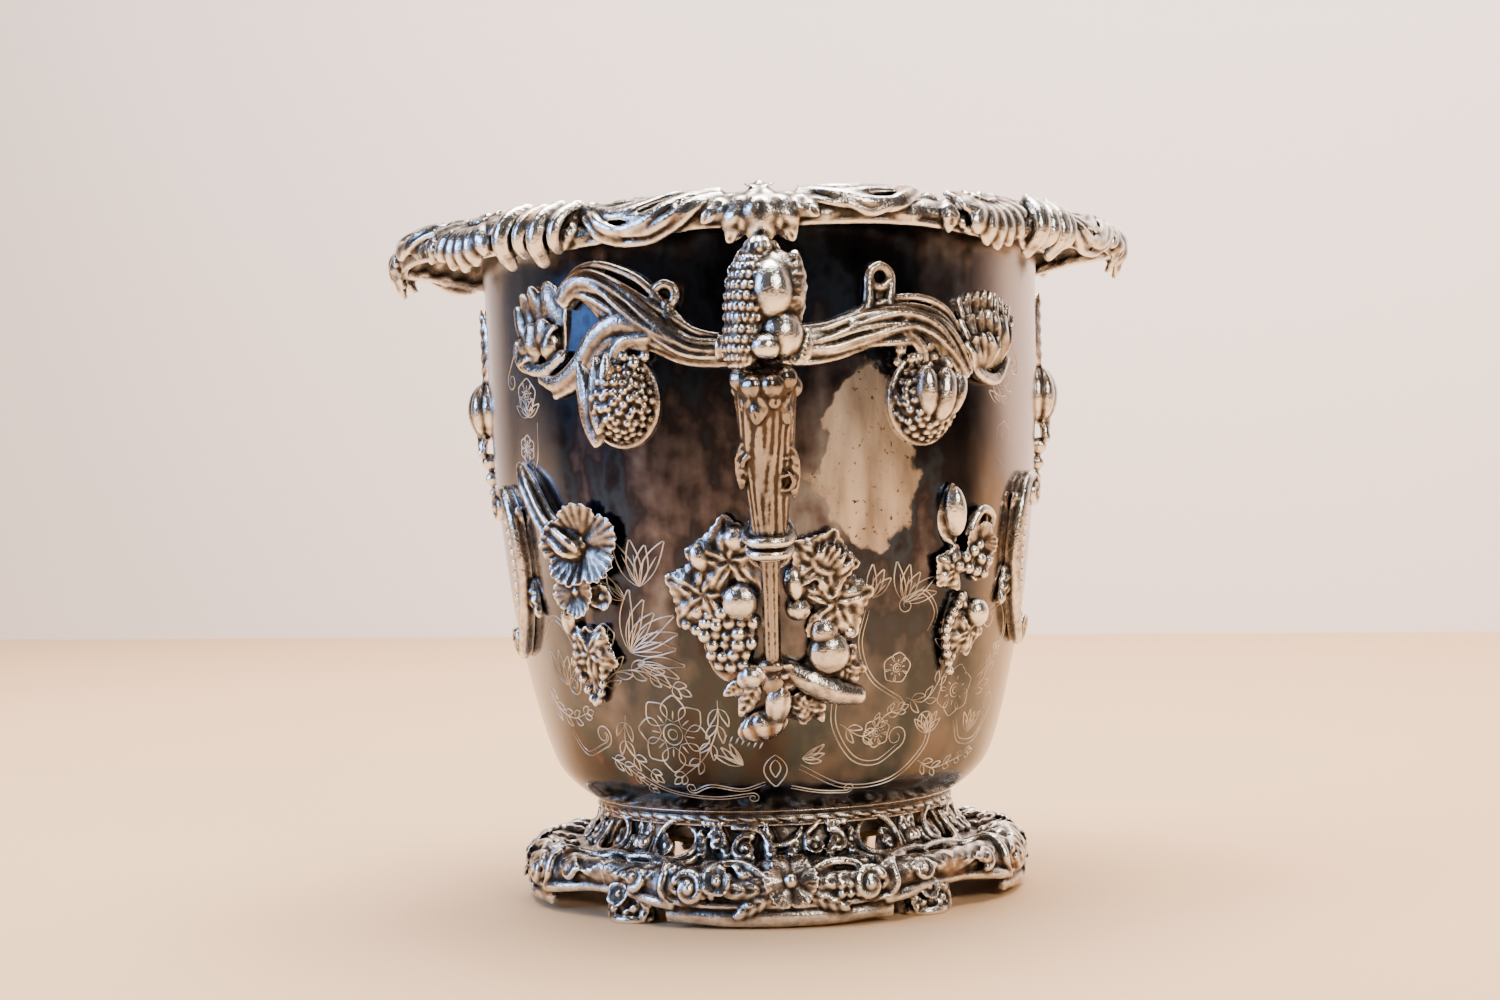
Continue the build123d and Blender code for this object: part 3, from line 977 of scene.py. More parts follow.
def place(
    name: str,
    mesh: bpy.types.Mesh,
    slot: Slot,
    material: bpy.types.Material,
    node: str | None = None,
    turn: float = 0.0,
) -> bpy.types.Object:
    """Puts a piece on the bucket and hides the CAD node that it replaces.

    Args:
        name: the piece's name.
        mesh: its mesh in the row frame; it is copied where it is turned.
        slot: the record's material slot; not used.
        material: its finish.
        node: the CAD node that it replaces.
        turn: degrees round the bucket, from the front towards the right.

    Returns:
        The piece.
    """
    mesh = mesh.copy()
    if turn:
        shape = Shape(point_array(mesh), np.empty((0, 3), int)).turned(turn)
        mesh.vertices.foreach_set("co", shape.points.ravel())
        mesh.update()
    mesh.materials.clear()
    mesh.materials.append(material)
    piece = linked(name, mesh)
    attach(piece, BODY)
    if node:
        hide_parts(node)
    LOG.info("%s: %d faces", name, len(mesh.polygons))
    return piece


# ---------------------------------------------------------------------------------------------
# Bowl
# ---------------------------------------------------------------------------------------------


@dataclass
class Bowl:
    """The spun bowl, with the engraving on its front and back."""

    wall: float = 1.5
    columns: int = 320

    def skin(self) -> Shape:
        """The bowl's outside and inside as one closed surface turned about the axis, faintly dented."""
        outside = smooth_line(BOWL_GROUND.outline, 100)
        floor = np.stack([np.linspace(0.5, 58.0, 14), np.full(14, outside[0, 1])], -1)
        outline = np.vstack([floor, outside])
        tangent = unit(np.gradient(outline, axis=0))
        inside = outline - self.wall * np.stack([tangent[:, 1], -tangent[:, 0]], -1)
        inside[-1] = (outline[-1, 0] - self.wall, outline[-1, 1])
        profile = np.vstack([outline, inside[::-1]])
        turn = np.arange(self.columns) / self.columns * TAU
        height = profile[:, 1][:, None]
        dents = 0.18 * np.sin(3 * turn + height / 31) * np.sin(height / 23 + 1.0)
        dents = dents + 0.08 * np.sin(8 * turn + height / 13)
        reach = profile[:, 0][:, None] + dents * np.clip(profile[:, 0][:, None] / 60 - 0.9, 0, 0.6)
        points = np.stack(
            [reach * np.sin(turn), -reach * np.cos(turn), np.broadcast_to(height, reach.shape)], -1
        )
        return rings(points)

    def build(self, palette: Palette) -> None:
        """Makes the bowl and its engraving."""
        mesh = to_mesh("bowl", self.skin())
        place("bowl", mesh, Slot.BOWL, palette.bowl, node="bucket_bowl")
        mesh = to_mesh("engraving", Engraving().shape())
        for name, turn in (("engraving_front", 0.0), ("engraving_back", 180.0)):
            place(name, mesh, Slot.BOWL, palette.cut, turn=turn)


@dataclass
class Engraving:
    """Flowers, scrolls and leaf blades on the bowl, each line a fine raised thread."""

    radius: float = 0.27

    def petal(
        self, length: float, width: float, lean: float, x: float, y: float, bend: float = 0.0
    ) -> Array:
        """The outline of a pointed petal or blade.

        Its middle line leaves (x, y) leaning right of up and turns steadily by the bend; its half
        width at share a of the length is sin(pi a^0.85).

        Args:
            length: root to tip.
            width: greatest width.
            lean: degrees right of up at the root.
            x: where the root is, round the bowl.
            y: where the root is, up the bowl.
            bend: degrees that the middle line turns by.

        Returns:
            The outline from root to tip and back.
        """
        t = np.linspace(0, 1, 24)
        along = 1 - np.abs(2 * t - 1)
        fine = np.linspace(0, 1, 40)
        heading = np.radians(lean + bend * fine)
        step = length / 39
        middle = np.stack([np.cumsum(np.sin(heading)), np.cumsum(np.cos(heading))], -1) * step
        here = np.stack([np.interp(along, fine, middle[:, k]) for k in range(2)], -1)
        across = np.where(t < 0.5, 1.0, -1.0) * width / 2 * np.sin(np.pi * along**0.85)
        angle = np.radians(lean + bend * along)
        return here + np.stack([across * np.cos(angle) + x, -across * np.sin(angle) + y], -1)

    def ring(self, radius: float, x: float, y: float) -> Array:
        """A circle about (x, y)."""
        t = np.linspace(0, TAU, 16)
        return np.stack([x + radius * np.cos(t), y + radius * np.sin(t)], -1)

    def daisy(self, petals: int, radius: float, x: float, y: float) -> list[Array]:
        """A flower of separate petals round a double heart, each petal with a short vein."""
        width = 1.75 * radius * np.sin(np.pi / petals)
        lines = [self.ring(radius * 0.27, x, y), self.ring(radius * 0.13, x, y)]
        for lean in np.arange(petals) * 360.0 / petals + 8.0:
            sine, cosine = np.sin(np.radians(lean)), np.cos(np.radians(lean))
            root = (x + radius * 0.3 * sine, y + radius * 0.3 * cosine)
            lines.append(self.petal(radius * 0.7, width, lean, *root))
            vein = [(root[0] + k * sine, root[1] + k * cosine) for k in (0.06 * radius, 0.3 * radius)]
            lines.append(np.linspace(vein[0], vein[1], 6))
        return lines

    def curl(self, points: Sequence[Point], eye: float, hand: int) -> Array:
        """A smooth line that ends in a spiral of a given radius."""
        line = smooth_line(points, 14 * len(points))
        along = unit(line[-1] - line[-2])
        side = hand * np.array([-along[1], along[0]])
        t = np.linspace(0.05, 1, 26)
        angle = TAU * 1.35 * t
        reach = eye * (1 - 0.75 * t)
        middle = line[-1] + side * eye
        spiral = middle + reach[:, None] * (
            np.outer(np.sin(angle), along) - np.outer(np.cos(angle), side)
        )
        return np.vstack([line, spiral])

    def fan(
        self, x: float, y: float, leans: Sequence[float], length: float, width: float, bend: float = 0.0
    ) -> list[Array]:
        """Blades that fan out from one root, each with a fine vein in it."""
        lines = []
        for k, lean in enumerate(leans):
            size = length * (1 - 0.1 * (k % 3))
            lines.append(self.petal(size, width, lean, x, y, bend))
            lines.append(self.petal(size * 0.7, 0.1, lean + 0.3 * bend, x, y, bend * 0.6)[:12])
        return lines

    def frond(self, points: Sequence[Point], blades: int, length: float, width: float) -> list[Array]:
        """A stem with curved blades on both sides, shorter towards its tip."""
        stem = smooth_line(points, 40)
        lines = [stem]
        heading = np.degrees(np.arctan2(*unit(np.gradient(stem, axis=0)).T))
        for k, i in enumerate(np.linspace(4, 37, blades).astype(int)):
            size = length * (1 - 0.45 * i / 40)
            for side in (-1, 1):
                lines.append(self.petal(size, width, heading[i] + side * 48, *stem[i], -side * 40))
        lines.append(self.petal(length * 0.6, width, heading[-1], *stem[-1]))
        return lines

    def double(self, points: Sequence[Point], eye: float, hand: int, gap: float = 1.7) -> list[Array]:
        """A scroll drawn in two lines that keep a gap between them."""
        outer = self.curl(points, eye, hand)
        along = unit(np.gradient(outer, axis=0))
        inner = outer + hand * gap * np.stack([-along[:, 1], along[:, 0]], -1)
        return [outer, inner[: int(len(inner) * 0.72)]]

    def strokes(self) -> list[Array]:
        """All lines on the front, as (distance round, height) from its middle at height 90."""
        lines = self.daisy(8, 14.5, -38.5, -24.5)
        lines += self.daisy(6, 9.5, 74.0, -13.0) + self.daisy(6, 5.6, 39.0, -26.0)
        lines += self.daisy(5, 5.6, 45.0, -3.0) + self.daisy(5, 4.6, -61.0, 11.0)
        # a tulip and two acanthus leaves left of the handle, and blades that curve out under them
        lines += self.fan(-44.0, 28.0, (-34, -14, 6, 26), 19.0, 5.2, 12.0)
        lines += self.fan(-50.0, 24.0, (-75, -58), 12.0, 3.6, 40.0)
        lines += self.fan(-51.0, 5.0, (-4, 12, 28, 44, 60, 76), 23.0, 5.2, 22.0)
        lines += self.fan(-49.0, 1.0, (80, 96, 112), 19.0, 4.0, 26.0)
        lines += self.frond([(-68, -9), (-58, -2), (-46, -2), (-34, -8)], 5, 9.0, 2.6)
        lines += self.frond([(-20, -12), (-21, -22), (-27, -33), (-38, -41)], 5, 8.0, 2.4)
        lines += self.frond([(-58, -18), (-60, -30), (-50, -40)], 4, 8.0, 2.4)
        lines += self.fan(-86.0, -8.0, (-40, -15, 10, 35), 15.0, 4.0, 20.0)
        lines += self.double([(-96, 10), (-86, 18), (-76, 8), (-78, -8)], 4.0, -1)
        lines += self.double([(-92, -26), (-84, -34), (-70, -30)], 4.5, 1)
        lines += self.frond([(24, -22), (34, -27), (42, -20), (48, -18)], 5, 6.5, 2.0)
        lines += self.frond([(60, -38), (70, -42), (82, -40), (92, -38)], 5, 6.5, 2.0)
        lines += self.frond([(-104, -6), (-98, -16), (-88, -20), (-78, -18)], 5, 7.5, 2.4)
        lines += self.frond([(-70, -34), (-62, -38), (-54, -46)], 4, 6.0, 2.0)
        lines += self.fan(62.0, -28.0, (-50, -25, 0, 25, 50), 9.0, 2.6)
        lines += self.fan(88.0, -30.0, (-40, -15, 10, 35), 10.0, 2.8, 12.0)
        lines += self.double([(56, 6), (60, 16), (54, 24), (46, 22)], 3.0, 1, 1.3)
        # scrolls right of the handle
        lines += self.double([(22, -6), (21, -22), (29, -35), (40, -38), (50, -32)], 4.6, 1)
        lines += self.double([(9, -38), (28, -47), (48, -46), (62, -34), (64, -24)], 4.2, 1)
        lines += self.double([(76, -24), (82, -33), (95, -33), (103, -22)], 4.4, 1)
        lines += self.double([(96, -4), (104, 6), (98, 18), (88, 16)], 4.0, 1)
        lines += self.double([(33, 18), (31, 6), (36, -6), (48, -14)], 3.4, -1, 1.3)
        lines += self.frond([(50, -14), (58, -16), (64, -10), (66, -2)], 4, 7.0, 2.2)
        lines += self.frond([(84, -14), (92, -10), (98, 0)], 4, 8.0, 2.4)
        lines += self.fan(46.0, 20.0, (-20, 0, 22, 48, 70), 15.0, 4.0, 14.0)
        lines += self.fan(34.0, 22.0, (-8, 14, 36), 12.0, 3.4, 16.0)
        lines += self.fan(68.0, 2.0, (-60, -30, 0, 30, 60), 9.0, 3.0, 0.0)
        # a pear and sweeping lines under the handle
        lines += [self.petal(13.0, 9.0, 180.0, 0.0, -32.0), self.petal(7.0, 4.0, 180.0, 0.0, -34.0)]
        lines += self.double([(-4, -44), (-14, -47), (-26, -45), (-34, -48)], 2.6, -1, 1.2)
        lines += self.double([(-60, -38), (-44, -47), (-26, -50), (-10, -48)], 2.8, -1, 1.4)
        lines += self.double([(6, -46), (18, -49), (30, -50)], 2.6, 1, 1.2)
        lines += self.fan(-12.0, -36.0, (-80, -60, -40), 12.0, 2.4, 20.0)
        lines += self.fan(10.0, -34.0, (70, 90, 110), 10.0, 2.2, -20.0)
        for k in range(7):
            dash = np.array([(-19.0 + 2.2 * k, -27.0 - 0.5 * k), (-17.6 + 2.2 * k, -24.6 - 0.5 * k)])
            lines.append(np.linspace(dash[0], dash[1], 5))
        return lines

    def upper_strokes(self) -> list[Array]:
        """The fainter flowers higher up beside the cartouches, from height 160."""
        lines = []
        for side in (-1, 1):
            lines += self.daisy(5, 6.0, side * 97.0, 26.0) + self.daisy(6, 5.0, side * 99.0, 7.0)
            lines += self.fan(side * 97.0, 18.0, (-60, -30, 30, 60), 9.0, 3.0)
            lines.append(self.curl([(side * 92, 36), (side * 102, 42), (side * 110, 34)], 3.6, -side))
            lines.append(self.curl([(side * 91, 16), (side * 93, 2), (side * 101, -5)], 3.4, side))
        return lines

    def shape(self) -> Shape:
        """Every line as a fine half-sunk thread on the bowl."""
        threads = []
        for height, lines in ((90.0, self.strokes()), (160.0, self.upper_strokes())):
            flat = []
            for line in lines:
                raised = np.concatenate([line, np.zeros((len(line), 1))], axis=1)
                radius = [
                    self.radius * 0.35, self.radius, self.radius * 1.15, self.radius, self.radius * 0.35
                ]
                flat.append(thread(raised, radius))
            threads.append(on_bowl(flat, 0.0, height))
        return joined(threads)


def thread(line: Array, radius: Sequence[float]) -> Shape:
    """A fine rod of four sides along a line, flattened to half its width.

    Args:
        line: points (x, y, w) along the rod.
        radius: radii spread evenly along it.

    Returns:
        The closed skin.
    """
    t = np.linspace(0, 1, len(line))
    size = np.interp(t, np.linspace(0, 1, len(radius)), radius)
    along = unit(np.gradient(line, axis=0))
    side = np.stack([-along[:, 1], along[:, 0], np.zeros(len(line))], -1)
    turn = np.arange(4) / 4 * TAU
    across = (size[:, None] * np.cos(turn))[..., None] * side[:, None, :]
    upwards = (size[:, None] * 0.5 * np.sin(turn))[..., None] * np.array([0.0, 0.0, 1.0])
    return rings((line[:, None, :] + across + upwards)[:, ::-1])


# ---------------------------------------------------------------------------------------------
# Border
# ---------------------------------------------------------------------------------------------


@dataclass
class Border:
    """The cast border in four alike sections, each from a shell to past the rosette at its end."""

    voxel: float = 0.6
    thick: float = 2.4
    section_start: float = -67.8
    section_end: float = 22.8
    # (degrees from a rosette, how far the lip reaches, how far it rises), repeated each quarter turn
    wave: tuple[tuple[float, float, float], ...] = (
        (0.0, 0.5, -1.0),
        (8.0, -1.0, 0.0),
        (16.0, -3.0, 0.5),
        (24.0, -4.0, 0.0),
        (31.0, -5.5, -1.5),
        (37.0, -7.0, -3.0),
        (44.0, -9.5, -2.0),
        (51.0, -10.0, -3.0),
        (58.0, -11.0, -3.0),
        (64.0, -11.5, -2.0),
        (74.0, -8.0, -1.0),
        (82.0, -4.0, 0.0),
        (90.0, 0.5, -1.0),
    )

    def waved(self, shape: Shape) -> Shape:
        """Moves points in and out and up and down with the wave, fully at the lip, not at the mouth."""
        x, y, z = shape.points.T
        radius = np.hypot(x, y)
        angle = np.degrees(np.arctan2(x, -y)) % 90.0
        line = smooth_line(self.wave, 120)
        reach, rise = (np.interp(angle, line[:, 0], line[:, k]) for k in (1, 2))
        share = np.clip((radius - 104.0) / 30.0, 0, 1) ** 1.5
        radius_scale = (radius + reach * share) / radius
        return Shape(np.stack([x * radius_scale, y * radius_scale, z + rise * share], -1), shape.faces)

    def flange(self) -> list[Shape]:
        """The plain ground of the casting, rippled all over, with a fine bead along its lip."""
        arc = np.radians(1.0) * 134.5
        x, y = np.meshgrid(
            np.arange(self.section_start * arc, self.section_end * arc, 0.9), np.arange(0.5, 38.0, 0.9)
        )
        w = 0.7 * np.sin(x / 2.9 + np.sin(y / 4)) * np.sin(y / 3.3 + x / 13) - 0.6
        lip = [(k * arc, 0.6, -1.2) for k in np.linspace(self.section_start, self.section_end, 40)]
        return [slab(x, y, w, self.thick), tube(lip, [1.3], cap=0.1)]

    def rosette(self) -> list[Shape]:
        """Broad pointed leaves round a stud, three of their tips over the lip."""
        shapes = []
        leaves = (
            (180.0, 25.0, 15.0, 3.4),
            (154.0, 25.0, 14.0, 2.4),
            (206.0, 25.0, 14.0, 2.4),
            (128.0, 25.0, 13.0, 1.6),
            (233.0, 24.0, 13.0, 1.6),
            (103.0, 23.0, 10.0, 1.2),
            (258.0, 22.0, 10.0, 1.2),
            (78.0, 22.0, 9.0, 1.0),
            (282.0, 21.0, 9.0, 1.0),
            (48.0, 16.0, 9.0, 0.8),
            (312.0, 16.0, 9.0, 0.8),
            (15.0, 15.0, 9.0, 1.0),
            (345.0, 15.0, 9.0, 1.0),
        )
        for lean, length, width, lift in leaves:
            blade = leaf(length, width, veins=5, vein=0.35, cup=-0.35, curl=-0.02, thick=2.0)
            shapes.append(blade.turned(lean).moved(0.0, 17.5, lift))
        shapes.append(flower(6, 5.5, 0.8, 2.0).moved(0.0, 17.5, 3.4))
        return shapes

    def scrolls(self) -> list[Shape]:
        """The long reeded scroll left of the rosette and the short one right of it, over the lip."""
        long_path = [(-14, 16, 0.6), (-26, 13, 1.0), (-40, 9, 1.2), (-54, 8.5, 1.2), (-66, 13, 0.8)]
        short = [(14, 16, 0.6), (24, 13, 1.0), (36, 11.5, 1.2), (47, 12.5, 1.0), (55, 17, 0.6)]
        upper = [(-18, 26, 0.2), (-34, 24, 0.6), (-50, 22, 0.6), (-62, 24, 0.2)]
        return [
            *strands(long_path, [10, 16, 17, 15, 8], 1.35, 11, 11, 1.8),
            *strands(short, [10, 15, 16, 12, 7], 1.35, 10, 12, 1.8),
            *strands(upper, [6, 9, 9, 5], 1.5, 4, 13, 0.8),
            tube(
                [(18, 26, 0.2), (34, 26, 0.6), (50, 29, 0.2)], [2.6, 3.6, 2.4], reeds=7, depth=0.25, flat=0.6
            ),
            volute(5.4, 1.9, hand=1).turned(200).moved(-66.0, 17.0, 1.4),
            volute(5.0, 1.9, hand=-1).turned(-20).moved(54.0, 19.0, 1.4),
            leaf(13, 7, veins=3, curl=0.12).turned(115).moved(-24, 22, 1.6),
            leaf(12, 7, veins=3, curl=0.12).turned(70).moved(-38, 19, 1.8),
            leaf(11, 6, veins=3, curl=0.1).turned(-120).moved(26, 20, 1.8),
            beads([(-31.0, 5.0, 1.8), (-28.5, 6.5, 2.0), (-33.5, 4.5, 1.6)], 1.5),
        ]

    def ribbon(self) -> list[Shape]:
        """A thick wrapped ribbon with hanging lobes and berries, between the shell and the long scroll."""
        berries = [(-73 - 3.0 * k, 21 + 1.5 * np.sin(k * 2.0), 1.6) for k in range(10)]
        path = [(-69, 15, 1.0), (-80, 11, 1.6), (-92, 11, 1.6), (-103, 15, 0.8)]
        shapes = [tube(path, [4.6, 5.6, 5.4, 3.8], flat=0.75), beads(berries, 1.7)]
        for x, size, foot in ((-73.0, 2.6, 1.0), (-80.5, 3.6, -2.5), (-88.0, 2.8, 0.5), (-96.5, 3.8, -3.0)):
            wrap = [(x + 5.0, 20.0, 1.0), (x + 1.5, 13.0, 5.0), (x - 2.5, 6.0, 4.4), (x - 4.0, foot, 1.4)]
            shapes.append(tube(wrap, [0.5 * size, size, size, 0.8 * size], flat=0.8, reeds=5, depth=0.12))
        for x, lean, length in ((-72, 170, 12), (-85, 186, 12), (-98, 193, 12)):
            blade = leaf(length, 8.0, veins=4, cup=-0.5, curl=0.03, thick=2.2)
            shapes.append(blade.turned(lean).moved(x, 12.0, 0.8))
        return shapes

    def shells(self) -> list[Shape]:
        """A scallop shell over the lip, with flowers above and beside it, leaves and berries."""
        shapes = [
            shell(21.0, 8, 160.0, 2.6).turned(180).moved(-122.0, 18.0, 1.2),
            flower(5, 8.0, 1.6, 2.2, 0.4).moved(-121.0, 19.0, 2.4),
            flower(5, 6.5, 1.4, 1.8, 0.4).moved(-136.0, 13.0, 2.0),
            flower(5, 6.0, 1.4, 1.7, 0.4).moved(-108.0, 14.0, 2.0),
            flower(6, 5.0, 1.2, 1.6, 0.3).moved(-131.0, 24.0, 1.6),
            flower(6, 5.0, 1.2, 1.6, 0.3).moved(-112.0, 25.0, 1.6),
        ]
        leaves = (
            (-112, 12, 150),
            (-134, 12, 208),
            (-143, 11, 168),
            (-104, 9, 178),
            (-127, 27, 35),
            (-115, 27, -35),
            (-142, 20, 80),
            (-103, 20, -80),
        )
        for x, y, lean in leaves:
            blade = leaf(12, 8.0, teeth=4, veins=4, cup=-0.3, curl=0.05, thick=2.0)
            shapes.append(blade.turned(lean).moved(x, y, 1.2))
        berries = [(-142 + 2.7 * k, 3.2 + 1.8 * np.cos(k * 1.7), 0.8) for k in range(15)]
        return shapes + [beads(berries, 1.5)]

    def build(self, palette: Palette) -> None:
        """Casts one section and sets it round the mouth four times."""
        flat = self.flange() + self.rosette() + self.scrolls() + self.ribbon() + self.shells()
        mesh = cast("border", self.waved(BORDER_GROUND.lay(joined(flat), 0.0, 0.0)), self.voxel)
        sections = {"front_left": 0.0, "front_right": 90.0, "back_right": 180.0, "back_left": 270.0}
        for corner, turn in sections.items():
            node = "border_" + corner
            place(node + "_casting", mesh, Slot.CAST, palette.cast, node, turn)


# ---------------------------------------------------------------------------------------------
# Foot
# ---------------------------------------------------------------------------------------------


@dataclass
class Foot:
    """The openwork foot: four lobes alike, a collar above them, and four leaf feet beside their ends."""

    voxel: float = 0.55
    thick: float = 2.6
    lip_end: float = 25.5  # degrees from a lobe's middle to the end of its rolled lip
    neck_end: float = 31.5  # and to the piercing
    corner: float = 45.6
    lip_arc: float = 24.0  # arc lengths up the section: the lip's top, the neck, the upper edge
    neck_arc: float = 33.0
    top_arc: float = 53.0
    hole_arc: float = 44.0
    hole_half: tuple[float, float] = (5.4, 7.0)  # degrees round, millimetres up
    degree: float = np.radians(1.0) * 91.0  # arc length of one degree at the table
    skirt_rows: tuple[float, float] = (9.5, 27.0)  # arc lengths of the skirt's lower and upper edge
    skirt_sink: float = 7.0  # how far its lower edge falls back at the corner
    skirt_ease: float = 14.0  # degrees round, and millimetres up, over which it falls back
    leaf_angle: float = 38.0
    leaf_place: float = 80.0

    def hole(self, rows: Array) -> Array:
        """Half width of the piercing at each arc length, in degrees."""
        share = np.clip(1 - ((rows - self.hole_arc) / self.hole_half[1]) ** 2, 0, None)
        return self.hole_half[0] * np.sqrt(share)

    def sheet(self, rows: Array, low: Array, high: Array, count: int) -> Shape:
        """A wrinkled plate between two edges, given in degrees at each arc length."""
        share = np.linspace(0, 1, count)[None, :]
        x = (low[:, None] + (high - low)[:, None] * share) * self.degree
        y = np.broadcast_to(rows[:, None], x.shape)
        wrinkle = 0.5 * np.sin(x / 2.7 + y / 5) * np.sin(y / 2.9) - 0.3
        return slab(x, y, wrinkle, self.thick)

    def panel(self, side: int) -> list[Shape]:
        """The plates of half a lobe and half a corner, which stop at the piercing."""
        rows = np.arange(1.0, self.top_arc, 0.7)
        ease = np.clip((rows - self.lip_arc) / (self.neck_arc - self.lip_arc), 0, 1)
        edge = self.lip_end + (self.neck_end - self.lip_end) * ease**2 * (3 - 2 * ease) - self.hole(rows)
        upper = rows[rows > self.neck_arc]
        far, corner = self.neck_end + self.hole(upper), np.full(len(upper), self.corner)
        turn, up = np.meshgrid(
            np.linspace(self.lip_end - 2, self.corner, 40), np.linspace(*self.skirt_rows, 28)
        )
        rise = np.clip((up - self.skirt_rows[0]) / self.skirt_ease, 0, 1)
        slope = np.clip((turn - self.lip_end) / self.skirt_ease, 0, 1) * (1 - rise) ** 1.3
        wrinkle = 0.35 * np.sin(turn * 0.9 + up / 3) * np.sin(up / 2.4 + turn / 4)
        skirt = slab(turn * self.degree, up, wrinkle - self.skirt_sink * slope, self.thick)
        roll = [
            (24.0, 7.5, -0.4), (29.0, 8.6, -1.8), (35.0, 9.8, -5.0), (40.0, 10.6, -6.8), (45.6, 10.6, -7.2)
        ]
        lip = tube([(a * self.degree, y, w) for a, y, w in roll], [1.8, 2.3, 2.4, 2.4, 2.4])
        if side < 0:
            skirt, lip = skirt.mirrored(), lip.mirrored()
            plates = [self.sheet(rows, -edge, 0 * rows, 48), self.sheet(upper, -corner, -far, 20)]
        else:
            plates = [self.sheet(rows, 0 * rows, edge, 48), self.sheet(upper, far, corner, 20)]
        return [*plates, skirt, lip]

    def rims(self, side: int) -> list[Shape]:
        """The double line that frames half a lobe, its volute, and the scroll round the piercing."""
        step = side * self.degree
        frame = [(23.5, 7.5, 0.2), (26.0, 12.0, 0.2), (25.8, 19.0, 0.4), (27.0, 27.0, 0.6), (33.0, 34.5, 0.8)]
        frame = [(a * step, y, w) for a, y, w in frame + [(40.0, 36.5, 0.8), (self.corner, 35.5, 0.6)]]
        inner = [(x - side * 3.6, y + 2.2, w) for x, y, w in frame[:4]]
        angles = np.radians(np.linspace(-215, 75, 22))
        widths = (self.hole_half[0] + 1.4, self.hole_half[1] + 1.6)
        around = [
            ((self.neck_end + widths[0] * np.cos(a)) * step, self.hole_arc + widths[1] * np.sin(a), 0.9)
            for a in angles
        ]
        outer = [
            (
                (self.neck_end + (widths[0] + 2.1) * np.cos(a)) * step,
                self.hole_arc - 0.5 + (widths[1] + 2.2) * np.sin(a),
                0.5,
            )
            for a in np.radians(np.linspace(-190, 10, 18))
        ]
        return [
            tube(frame, [1.0, 1.6, 1.8, 1.8, 1.8, 1.8, 1.6]),
            tube(inner, [0.8, 1.2, 1.2, 0.9]),
            tube(around, [1.0, 1.5, 1.6, 1.6, 1.5, 1.2]),
            tube(outer, [0.7, 1.1, 1.2, 1.1, 0.8]),
            volute(4.2, 1.5, hand=-side).turned(120).moved(
                self.neck_end * step + side * 5.0, self.hole_arc - 1.5, 0.2
            ),
            volute(5.6, 1.9, hand=side).turned(90 - 60 * side).moved(side * 31.0, 13.0, 1.0),
            blob((3.4, 7.4, 5.2)).moved(24.6 * step, 12.5, -4.2),
            blob((2.6, 3.4, 3.2)).moved(26.6 * step, 12.5, -5.0),
            blob((3.0, 3.0, 2.2)).moved(44.0 * step, 43.0, 0.6),
            leaf(15, 9, veins=4, vein=0.35, cup=-0.4).turned(-95 * side).moved(29.0 * step, 18.5, -0.6),
            leaf(12, 8, veins=4, vein=0.35, cup=-0.4).turned(-60 * side).moved(38.0 * step, 17.0, -1.8),
            volute(4.4, 1.6, hand=-side).turned(100 * side).moved(34.0 * step, 16.5, -1.2),
            leaf(11, 8, veins=3, cup=-0.4).turned(180 + 20 * side).moved(42.5 * step, 51.0, 0.8),
        ]

    def band(self) -> list[Shape]:
        """The plain round band along the table and the fine line above it."""
        turns = np.linspace(-24.5, 24.5, 15)
        toe = [(a * self.degree, 3.0 + 0.8 * abs(a / 25) ** 4, -1.6) for a in turns]
        line = [(a * self.degree, 7.4 + 1.4 * abs(a / 25) ** 4, 0.1) for a in turns]
        top = [(a * self.degree, self.top_arc - 0.6, 0.2) for a in np.linspace(-self.corner, self.corner, 23)]
        return [
            tube(toe, [2.2, 3.4, 3.6, 3.4, 2.2], flat=0.85),
            tube(line, [0.9, 1.0, 0.9]),
            tube(top, [1.0], cap=0.1),
        ]

    def ornament(self) -> list[Shape]:
        """The large flower on the lip's face, with leaves, scrolls, buds and berries around it."""
        shapes = [
            flower(6, 9.6, 1.6, 2.4, 0.5).moved(4.0, 15.5, 0.8),
            flower(5, 5.0, 1.2, 1.6, 0.3).moved(-21.0, 15.5, 1.2),
            flower(5, 4.6, 1.2, 1.5, 0.3).moved(17.0, 42.0, 1.0),
            volute(6.0, 1.7, hand=1).turned(60).moved(-15.0, 41.5, 1.0),
            volute(4.6, 1.4, hand=-1).turned(150).moved(-29.0, 45.0, 0.8),
            volute(5.0, 1.5, hand=-1).turned(120).moved(28.0, 44.0, 0.8),
            tube(
                [(-30, 12, 0.8), (-24, 20, 1.2), (-14, 22, 1.4), (-5, 17, 1.4)],
                [0.9, 1.6, 1.7, 1.2],
                reeds=4,
                depth=0.2,
            ),
            tube(
                [(33, 12, 0.8), (28, 20, 1.2), (20, 22, 1.2), (12, 19, 1.4)],
                [0.9, 1.5, 1.6, 1.2],
                reeds=4,
                depth=0.2,
            ),
            tube([(-8, 49, 0.8), (-2, 43, 1.2), (8, 45, 1.2), (12, 50, 0.8)], [0.9, 1.4, 1.3, 0.8]),
            tube([(-22, 50, 0.6), (-12, 50, 0.8), (-4, 47, 1.0)], [0.8, 1.3, 0.9]),
            tube([(20, 51, 0.6), (14, 47, 0.9), (13, 41, 1.0)], [0.8, 1.4, 1.0]),
        ]
